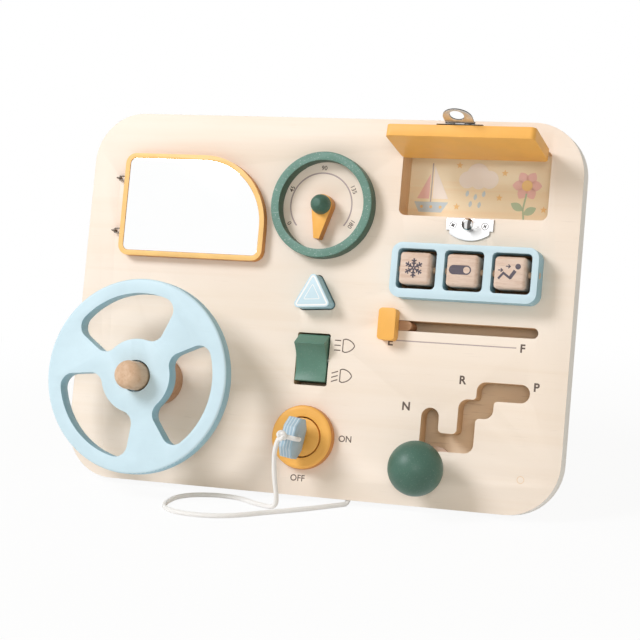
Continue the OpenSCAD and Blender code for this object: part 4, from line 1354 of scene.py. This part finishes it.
class BUSY_OT_dial(Group, Operator):
    """Makes the dial's ring, its pointer and the knob that holds it"""

    bl_idname = "busy.dial"
    bl_label = "Dial"
    rounded = (
        ("dial_ring", "wood", "sage_paint", "sage_wood", "sage_side"),
        ("pointer", "wood", "orange_paint", "orange_wood", "orange_side"),
        ("pointer_peg", "fine", "deep_sage_paint", "deep_sage_wood"),
    )
    kept = (
        ("pointer_washer", "beech", "raw_wood"),
    )


class BUSY_OT_mirror(Group, Operator):
    """Makes the mirror door with its wire hinges"""

    bl_idname = "busy.mirror"
    bl_label = "Mirror door"
    rounded = (
        ("mirror_frame", "wood", "mirror_orange", "orange_wood", "orange_side"),
        ("mirror_plate", "metal", "mirror_sheet", "mirror"),
    )
    kept = (
        ("mirror_frame_loops", "dull_wire", "steel"),
        ("mirror_panel_eyes", "dull_wire", "steel"),
    )


# How far each ink of the picture lies above the one before it
PICTURE_LAYER = 0.04


class BUSY_OT_compartment(Group, Operator):
    """Makes the compartment, its floor with pictures, its lid and its hinges"""

    bl_idname = "busy.compartment"
    bl_label = "Compartment"
    rounded = (
        ("compartment_liner", "metal", "ply_edge", "raw_wood"),
        ("lid_board", "wood", "orange_paint", "orange_wood"),
        ("lid_hinge_leaves", "metal", "plated_steel", "steel"),
        ("panel_hinge_leaves", "metal", "plated_steel", "steel"),
    )
    kept = (
        ("compartment_card", "compartment_floor", "card"),
        ("lid_hinge_pins", "plated_steel", "steel"),
    )

    def rest(self, sizes):
        self.picture(span("compartment_card")[1].z)

    def picture(self, level):
        """A sailing boat, a rain cloud and a flower in pastel inks, with small stars between."""
        inks = {name: Ink(level + i * PICTURE_LAYER) for i, name in enumerate(PICTURE_INKS)}
        sky, rose, leaf = (inks["picture_" + name] for name in ("sky", "rose", "leaf"))
        gold, plum, cream = (inks["picture_" + name] for name in ("gold", "plum", "cream"))
        sky.fill([(64, 87), (68, 79), (86, 79), (91, 87)])
        plum.line([(77, 87), (77, 117)], 0.9)
        cream.fill([(78.4, 89.5), (78.4, 115), (91, 89.5)])
        rose.fill([(75.6, 89.5), (75.6, 109), (66, 89.5)])
        for x in (70, 77.5, 85):
            gold.dot((x, 83.2), 1.2)
        puffs = ((-9, -2, 6.6), (-1, 2.4, 8.6), (8.4, -1.4, 7), (0, -3, 6))
        cream.fill(self.cloud((114, 107), puffs))
        for x, y in ((106, 94.5), (112.5, 92), (119, 94.5), (109, 86.5), (116, 86)):
            sky.fill(self.petal((x, y + 2.4), 5, 1.3, 262))
        leaf.line([(151, 76), (150, 84), (152, 96)], 1.3)
        for foot, turn in (((150.4, 80), 28), ((150.2, 83), 152)):
            leaf.fill(self.petal(foot, 11, 3, turn))
        for turn in range(0, 360, 60):
            rose.fill(self.petal(around((152, 102), 1.5, math.radians(turn)), 10, 3.9, turn))
        gold.dot((152, 102), 4.2)
        for x, y in ((98, 84), (131, 92), (134, 111), (98, 116), (166, 84)):
            gold.fill(self.star((x, y), 2.8, 1.2))
        for name, ink in inks.items():
            ink.made(name + "_print", name, "card", "board")

    def cloud(self, at, puffs):
        """The outline round a few puffs, seen from a point inside them all."""
        outline = []
        for step in range(90):
            a = math.tau * step / 90
            ray = Vector((math.cos(a), math.sin(a)))
            far = 0
            for x, y, r in puffs:
                along = ray.dot(Vector((x, y)))
                square = r * r - (x * x + y * y - along * along)
                if square > 0:
                    far = max(far, along + math.sqrt(square))
            outline.append(around(at, far, a))
        return outline

    def petal(self, foot, length, half, turn):
        """A leaf from its foot to its tip."""
        along = [i / 10 for i in range(11)]
        side = [(length * t, half * math.sin(math.pi * t) ** 0.8) for t in along]
        outline = side[:-1] + [(x, -y) for x, y in side[:0:-1]]
        c, s = math.cos(math.radians(turn)), math.sin(math.radians(turn))
        return [(foot[0] + x * c - y * s, foot[1] + x * s + y * c) for x, y in outline]

    def star(self, at, outer, inner):
        """A star with five points."""
        spokes = [(outer, inner)[i % 2] for i in range(10)]
        return [around(at, r, math.radians(90 + 36 * i)) for i, r in enumerate(spokes)]


# The blocks that cut the keeper's notches: their size and edge, and how far their middles lie
# beyond the plate's side, below its lower end and above the panel. Faces of the plate that look
# out less than KEEPER_STEEP are painted dark as shade.
NOTCH_SIZE = (6.4, 15.6, 6)
NOTCH_EDGE = 0.2
NOTCH_BEYOND = 0.6
NOTCH_BELOW = 0.2
NOTCH_ABOVE = 0.6
KEEPER_STEEP = 0.9

# A keeper screw's cone, its cross's depth and its length; then its printed shade: how far that
# lies above the head, its rim as a share of the head, the widths of rim and cross, and its turn
KEEPER_SCREW = (1.2, 1.3, 11.2)
SHADE_ABOVE = 0.06
SHADE_RIM = 1.06
SHADE_RIM_WIDTH = 0.34
SHADE_WIDTH = 0.7
SHADE_TURN = 0.5


class BUSY_OT_latch(Group, Operator):
    """Makes the plated latch: its plate, hasp, keeper and stud"""

    bl_idname = "busy.latch"
    bl_label = "Latch"
    rounded = (
        ("latch_plate", "metal", "satin_steel", "steel", "steel_side"),
        ("hasp", "metal", "satin_steel", "steel", "steel_side"),
    )
    kept = (
        ("hasp_pin", "plated_steel", "steel"),
        ("keeper_stud", "stud_steel", "steel"),
    )

    def rest(self, sizes):
        low, high = span("keeper_plate")
        notches = [
            block("notch", (x, low.y - NOTCH_BELOW, NOTCH_ABOVE), NOTCH_SIZE, NOTCH_EDGE)
            for x in (low.x - NOTCH_BEYOND, high.x + NOTCH_BEYOND)
        ]
        looks = ("satin_steel", "steel", "steel_side")
        softened("keeper_plate", sizes.metal_edge, *looks, notches, KEEPER_STEEP)
        low, high = span("keeper_screws")
        head = (high.y - low.y) / 2
        row = (low.y + high.y) / 2
        places = [Vector((x, row, high.z)) for x in (low.x + head, high.x - head)]
        screws = repeated_screws("keeper_screws_finished", places, head, *KEEPER_SCREW)
        dress(screws, "satin_steel", "board", ["keeper_screws"])
        screw_shade = Ink(high.z + SHADE_ABOVE)
        for at in places:
            screw_shade.ring((at.x, at.y), head * SHADE_RIM, SHADE_RIM_WIDTH, SCREW_STEPS)
            for a in (SHADE_TURN, SHADE_TURN + math.pi / 2):
                ends = [around(at, reach, a) for reach in (-head * CROSS_ARM, head * CROSS_ARM)]
                screw_shade.line(ends, SHADE_WIDTH)
        screw_shade.made("keeper_crosses", "pit_shade", "steel", "board")


class BUSY_OT_cubes(Group, Operator):
    """Makes the picture cubes in their frame"""

    bl_idname = "busy.cubes"
    bl_label = "Picture cubes"
    rounded = (
        ("cube_frame", "wood", "sky_paint", "sky_wood", "sky_side"),
        ("cube_axle", "metal", "beech_end", "raw_wood"),
    )

    def rest(self, sizes):
        signs = (self.snowflake, self.toggle, self.seat)
        for name, sign in zip(("left_cube", "middle_cube", "right_cube"), signs):
            low, high = span(name)
            body = frame["nodes"][name]["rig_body"]
            piece = block(name + "_finished", (low + high) / 2, high - low, sizes.cube_edge / MM)
            dress(piece, "beech", body, [name])
            sign(((low.x + high.x) / 2, (low.y + high.y) / 2), high.z, body)

    def snowflake(self, at, level, body):
        """Six feathered arms round a centre."""
        arm = Ink(0, Matrix.Identity(4))
        arm.line([(0, 0.4), (0, 7.3)], 1.25)
        for along, reach in ((2.9, 1.7), (4.8, 1.9)):
            for side in (-1, 1):
                arm.line([(0, along), (side * reach, along + reach * 0.62)], 1.0)
        part = closed(arm.work, "arm")
        centre = Matrix.Translation((at[0] - 0.6, at[1] - 0.1, level))
        places = [Vector((0, 0, 0))] * 6
        piece = repeated("snowflake_sign", part, places, math.tau / 6, "icon_ink", BOARD @ centre)
        dress(piece, None, body)

    def toggle(self, at, level, body):
        """A switch drawn as a rounded bar with a ring at one end."""
        x, y, half, reach = at[0] - 1.2, at[1] + 0.2, 3.5, 5.0
        ink = Ink(level)
        right = [around((x + reach, y), half, math.radians(a)) for a in range(-90, 91, 10)]
        left = [around((x - reach, y), half, math.radians(a)) for a in range(90, 271, 10)]
        ink.fill(right + left)
        ink.made("toggle_sign", "icon_ink", "raw_wood", body)
        knob = Ink(level + 0.05)
        knob.dot((x + reach, y), 2.5)
        knob.made("toggle_knob", "beech", "raw_wood", body)

    def seat(self, at, level, body):
        """A seated figure with two small arrows, for warm air."""
        x, y = at[0], at[1] - 0.8
        ink = Ink(level)
        ink.dot((x + 6.1, y + 5.5), 2.1)
        ink.line([(x + 4.2, y + 2.4), (x + 0.4, y - 3.3)], 2.6)
        ink.line([(x + 1.2, y - 3.6), (x - 4.6, y + 0.4), (x - 8.2, y - 4)], 1.7)
        for across, up in ((-1.8, 5.4), (-7.4, 2.4)):
            tip = (x + across + 2.1, y + up)
            ink.line([(x + across - 1.3, y + up), tip], 0.8)
            ink.line([(tip[0] - 1.5, tip[1] + 1.4), tip, (tip[0] - 1.5, tip[1] - 1.4)], 0.75)
        ink.made("seat_sign", "icon_ink", "raw_wood", body)


# The middle of the hazard button's sign
HAZARD_AT = (0.2, 8)


class BUSY_OT_hazard(Group, Operator):
    """Makes the hazard button"""

    bl_idname = "busy.hazard"
    bl_label = "Hazard button"
    rounded = (
        ("hazard_button", "wood", "sky_paint", "sky_wood", "sky_side"),
    )
    kept = (
        ("hazard_flange", "beech", "raw_wood"),
    )

    def rest(self, sizes):
        low, high = span("hazard_button")
        at = HAZARD_AT
        body = frame["nodes"]["hazard_button"]["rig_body"]
        ink = Ink(high.z)
        ink.line(self.triangle(at, 1.0, 1.3), 1.2, looped=True)
        ink.line(self.triangle(at, 0.5, 0.6), 0.5, looped=True)
        ink.made("hazard_sign", "white_ink", "sky_wood", body)
        spring = keep("hazard_spring", "plated_steel")
        low, high = span("hazard_spring")
        outwards = BOARD.to_3x3() @ Vector((0, 0, 1))
        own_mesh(spring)

    def triangle(self, at, grow, bend):
        """A round-cornered triangle that follows the button's outline."""
        points = []
        for (x, y), start in (((-10.6, -8.5), 150), ((11.2, -7), 270), ((0, 11.7), 30)):
            for step in range(7):
                a = math.radians(start + 120 * step / 6)
                points.append(around((at[0] + x * grow, at[1] + y * grow), bend, a))
        return points


class BUSY_OT_slider(Group, Operator):
    """Makes the slider's knob and what holds it behind the panel"""

    bl_idname = "busy.slider"
    bl_label = "Slider"
    rounded = (
        ("slider_knob", "wood", "orange_paint", "orange_wood"),
        ("slider_shoe", "fine", "worn_beech", "raw_wood"),
    )
    kept = (
        ("slider_keeper", "beech", "raw_wood"),
        ("slider_screw", "plated_steel", "steel"),
    )


class BUSY_OT_rocker(Group, Operator):
    """Makes the headlamp rocker on its pin"""

    bl_idname = "busy.rocker"
    bl_label = "Headlamp rocker"
    rounded = (
        ("headlamp_rocker", "wood", "rocker_paint", "deep_sage_wood"),
    )
    kept = (
        ("rocker_pin", "plated_steel", "steel"),
        ("rocker_keepers", "beech", "raw_wood"),
    )


class BUSY_OT_gear(Group, Operator):
    """Makes the gear lever's ball, stem and captive disc"""

    bl_idname = "busy.gear"
    bl_label = "Gear lever"
    rounded = (
        ("gear_ball", "fine", "deep_sage_paint", "deep_sage_wood"),
    )
    kept = (
        ("gear_stem", "beech", "raw_wood"),
        ("gear_disc", "beech", "raw_wood"),
    )


class BUSY_OT_switch(Group, Operator):
    """Makes the key switch: its ring, its barrel and the key"""

    bl_idname = "busy.switch"
    bl_label = "Key switch"
    rounded = (
        ("switch_ring", "wood", "orange_paint", "orange_wood", "orange_side"),
        ("key_barrel", "wood", "orange_paint", "orange_wood"),
    )
    kept = (
        ("barrel_retainer", "beech", "raw_wood"),
    )

    def rest(self, sizes):
        key = softened("key", sizes.fine_edge, "key_paint", "key_wood")
        key.data.materials.append(finish_named("key_edge"))
        turn = key_place().inverted().to_3x3()
        for face in key.data.polygons:
            if abs((turn @ face.normal).normalized().x) < EDGE_ON:
                face.material_index = 1


# --- Prints ---

# The centre of the dial's arc; its radius, start and end in degrees, and width; its numbers
DIAL_PRINT = (-3.5, 77.7)
DIAL_ARC = (25, 221.5, -38, 1.15)
DIAL_NUMBERS = (
    ("0", (-28.3, 62.7)), ("45", (-28.5, 89.4)), ("90", (-3.4, 106.7)),
    ("135", (22.1, 90.4)), ("180", (22.2, 63.5)),
)  # fmt: skip
NUMBER_HEIGHT = 3.45
NUMBER_WEIGHT = 0.008

# The slider's scale and its width; each lamp sign's place and how far its beams dip in degrees
SCALE = ((66.5, -23), (159.5, -23))
SCALE_WIDTH = 0.85
HEADLAMPS = ((29.3, -29.6, 0.0), (29.0, -52.6, 19.0))

# Each letter or word with its height and place; words are thickened less than letters
LETTERS = (
    ("F", 6.3, (164.4, -23.1)), ("E", 6.3, (62, -24.0)), ("N", 6.4, (78.6, -71.8)),
    ("R", 6.4, (121, -49.3)), ("P", 6.4, (177.3, -51.1)),
    ("ON", 4.9, (32.6, -100.3)), ("OFF", 4.9, (-2.8, -132.7)),
)  # fmt: skip
LETTER_WEIGHT = 0.03
WORD_WEIGHT = 0.012


class BUSY_OT_prints(Group, Operator):
    """Prints the dial's numbers, the scale, the letters and the lamp signs on the panel"""

    bl_idname = "busy.prints"
    bl_label = "Printed marks"

    def rest(self, sizes):
        ink = Ink(0)
        lines = Ink(0)
        lines.arc(DIAL_PRINT, *DIAL_ARC)
        lines.line(SCALE, SCALE_WIDTH)
        lines.made("panel_lines", "line_ink", "pale_wood", "board")
        for number, at in DIAL_NUMBERS:
            turn = math.degrees(math.atan2(at[1] - DIAL_PRINT[1], at[0] - DIAL_PRINT[0])) - 90
            ink.word(number, NUMBER_HEIGHT, at, turn, NUMBER_WEIGHT)
        for x, y, slant in HEADLAMPS:
            self.headlamp(ink, x, y, slant)
        for letter, height, at in LETTERS:
            ink.word(letter, height, at, 0.0, WORD_WEIGHT if len(letter) > 1 else LETTER_WEIGHT)
        ink.made("panel_prints", "grey_ink", "pale_wood", "board")

    def headlamp(self, ink, x, y, slant):
        """A lamp seen from its side with three beams; a slant dips them."""
        beam, width = 5.1, 0.8
        points = [(x - 4.9, y + 4.4), (x - 4.9, y - 4.4)]
        for a in range(-85, 86, 10):
            c, s = math.cos(math.radians(a)), math.sin(math.radians(a))
            points.append((x - 3.8 + 8.2 * c, y + math.copysign(5.1 * abs(s) ** 1.35, s)))
        ink.line(points, width, looped=True)
        dip = math.tan(math.radians(slant)) * beam
        gap = 3.2 if slant else 3.75
        for step in (-1, 0, 1):
            right, level = x - 6.7, y + step * gap
            ink.line([(right - beam, level - dip), (right, level)], width)


PIECES = (
    BUSY_OT_stage, BUSY_OT_cord, BUSY_OT_panel, BUSY_OT_stand, BUSY_OT_wheel, BUSY_OT_dial,
    BUSY_OT_mirror, BUSY_OT_compartment, BUSY_OT_latch, BUSY_OT_cubes, BUSY_OT_hazard,
    BUSY_OT_slider, BUSY_OT_rocker, BUSY_OT_gear, BUSY_OT_switch, BUSY_OT_prints,
)  # fmt: skip


class BUSY_PT_pieces(Panel):
    """Lists the pieces of the board, with their sizes and colours"""

    bl_idname = "BUSY_PT_pieces"
    bl_label = "Busy board"
    bl_space_type = "VIEW_3D"
    bl_region_type = "UI"
    bl_category = "Busy board"

    def draw(self, context):
        for group in (context.scene.busy_sizes, context.scene.busy_colours):
            box = self.layout.box()
            for name in group.__annotations__:
                box.prop(group, name)
        column = self.layout.column()
        for piece in PIECES:
            column.operator(piece.bl_idname)


CLASSES = (BusySizes, BusyColours, *PIECES, BUSY_PT_pieces)


def register():
    for item in CLASSES:
        bpy.utils.register_class(item)
    bpy.types.Scene.busy_sizes = PointerProperty(type=BusySizes)
    bpy.types.Scene.busy_colours = PointerProperty(type=BusyColours)


def unregister():
    del bpy.types.Scene.busy_colours
    del bpy.types.Scene.busy_sizes
    for item in reversed(CLASSES):
        bpy.utils.unregister_class(item)


def main():
    register()
    for piece in PIECES:
        group, name = piece.bl_idname.split(".")
        getattr(getattr(bpy.ops, group), name)()


if __name__ == "__main__":
    main()
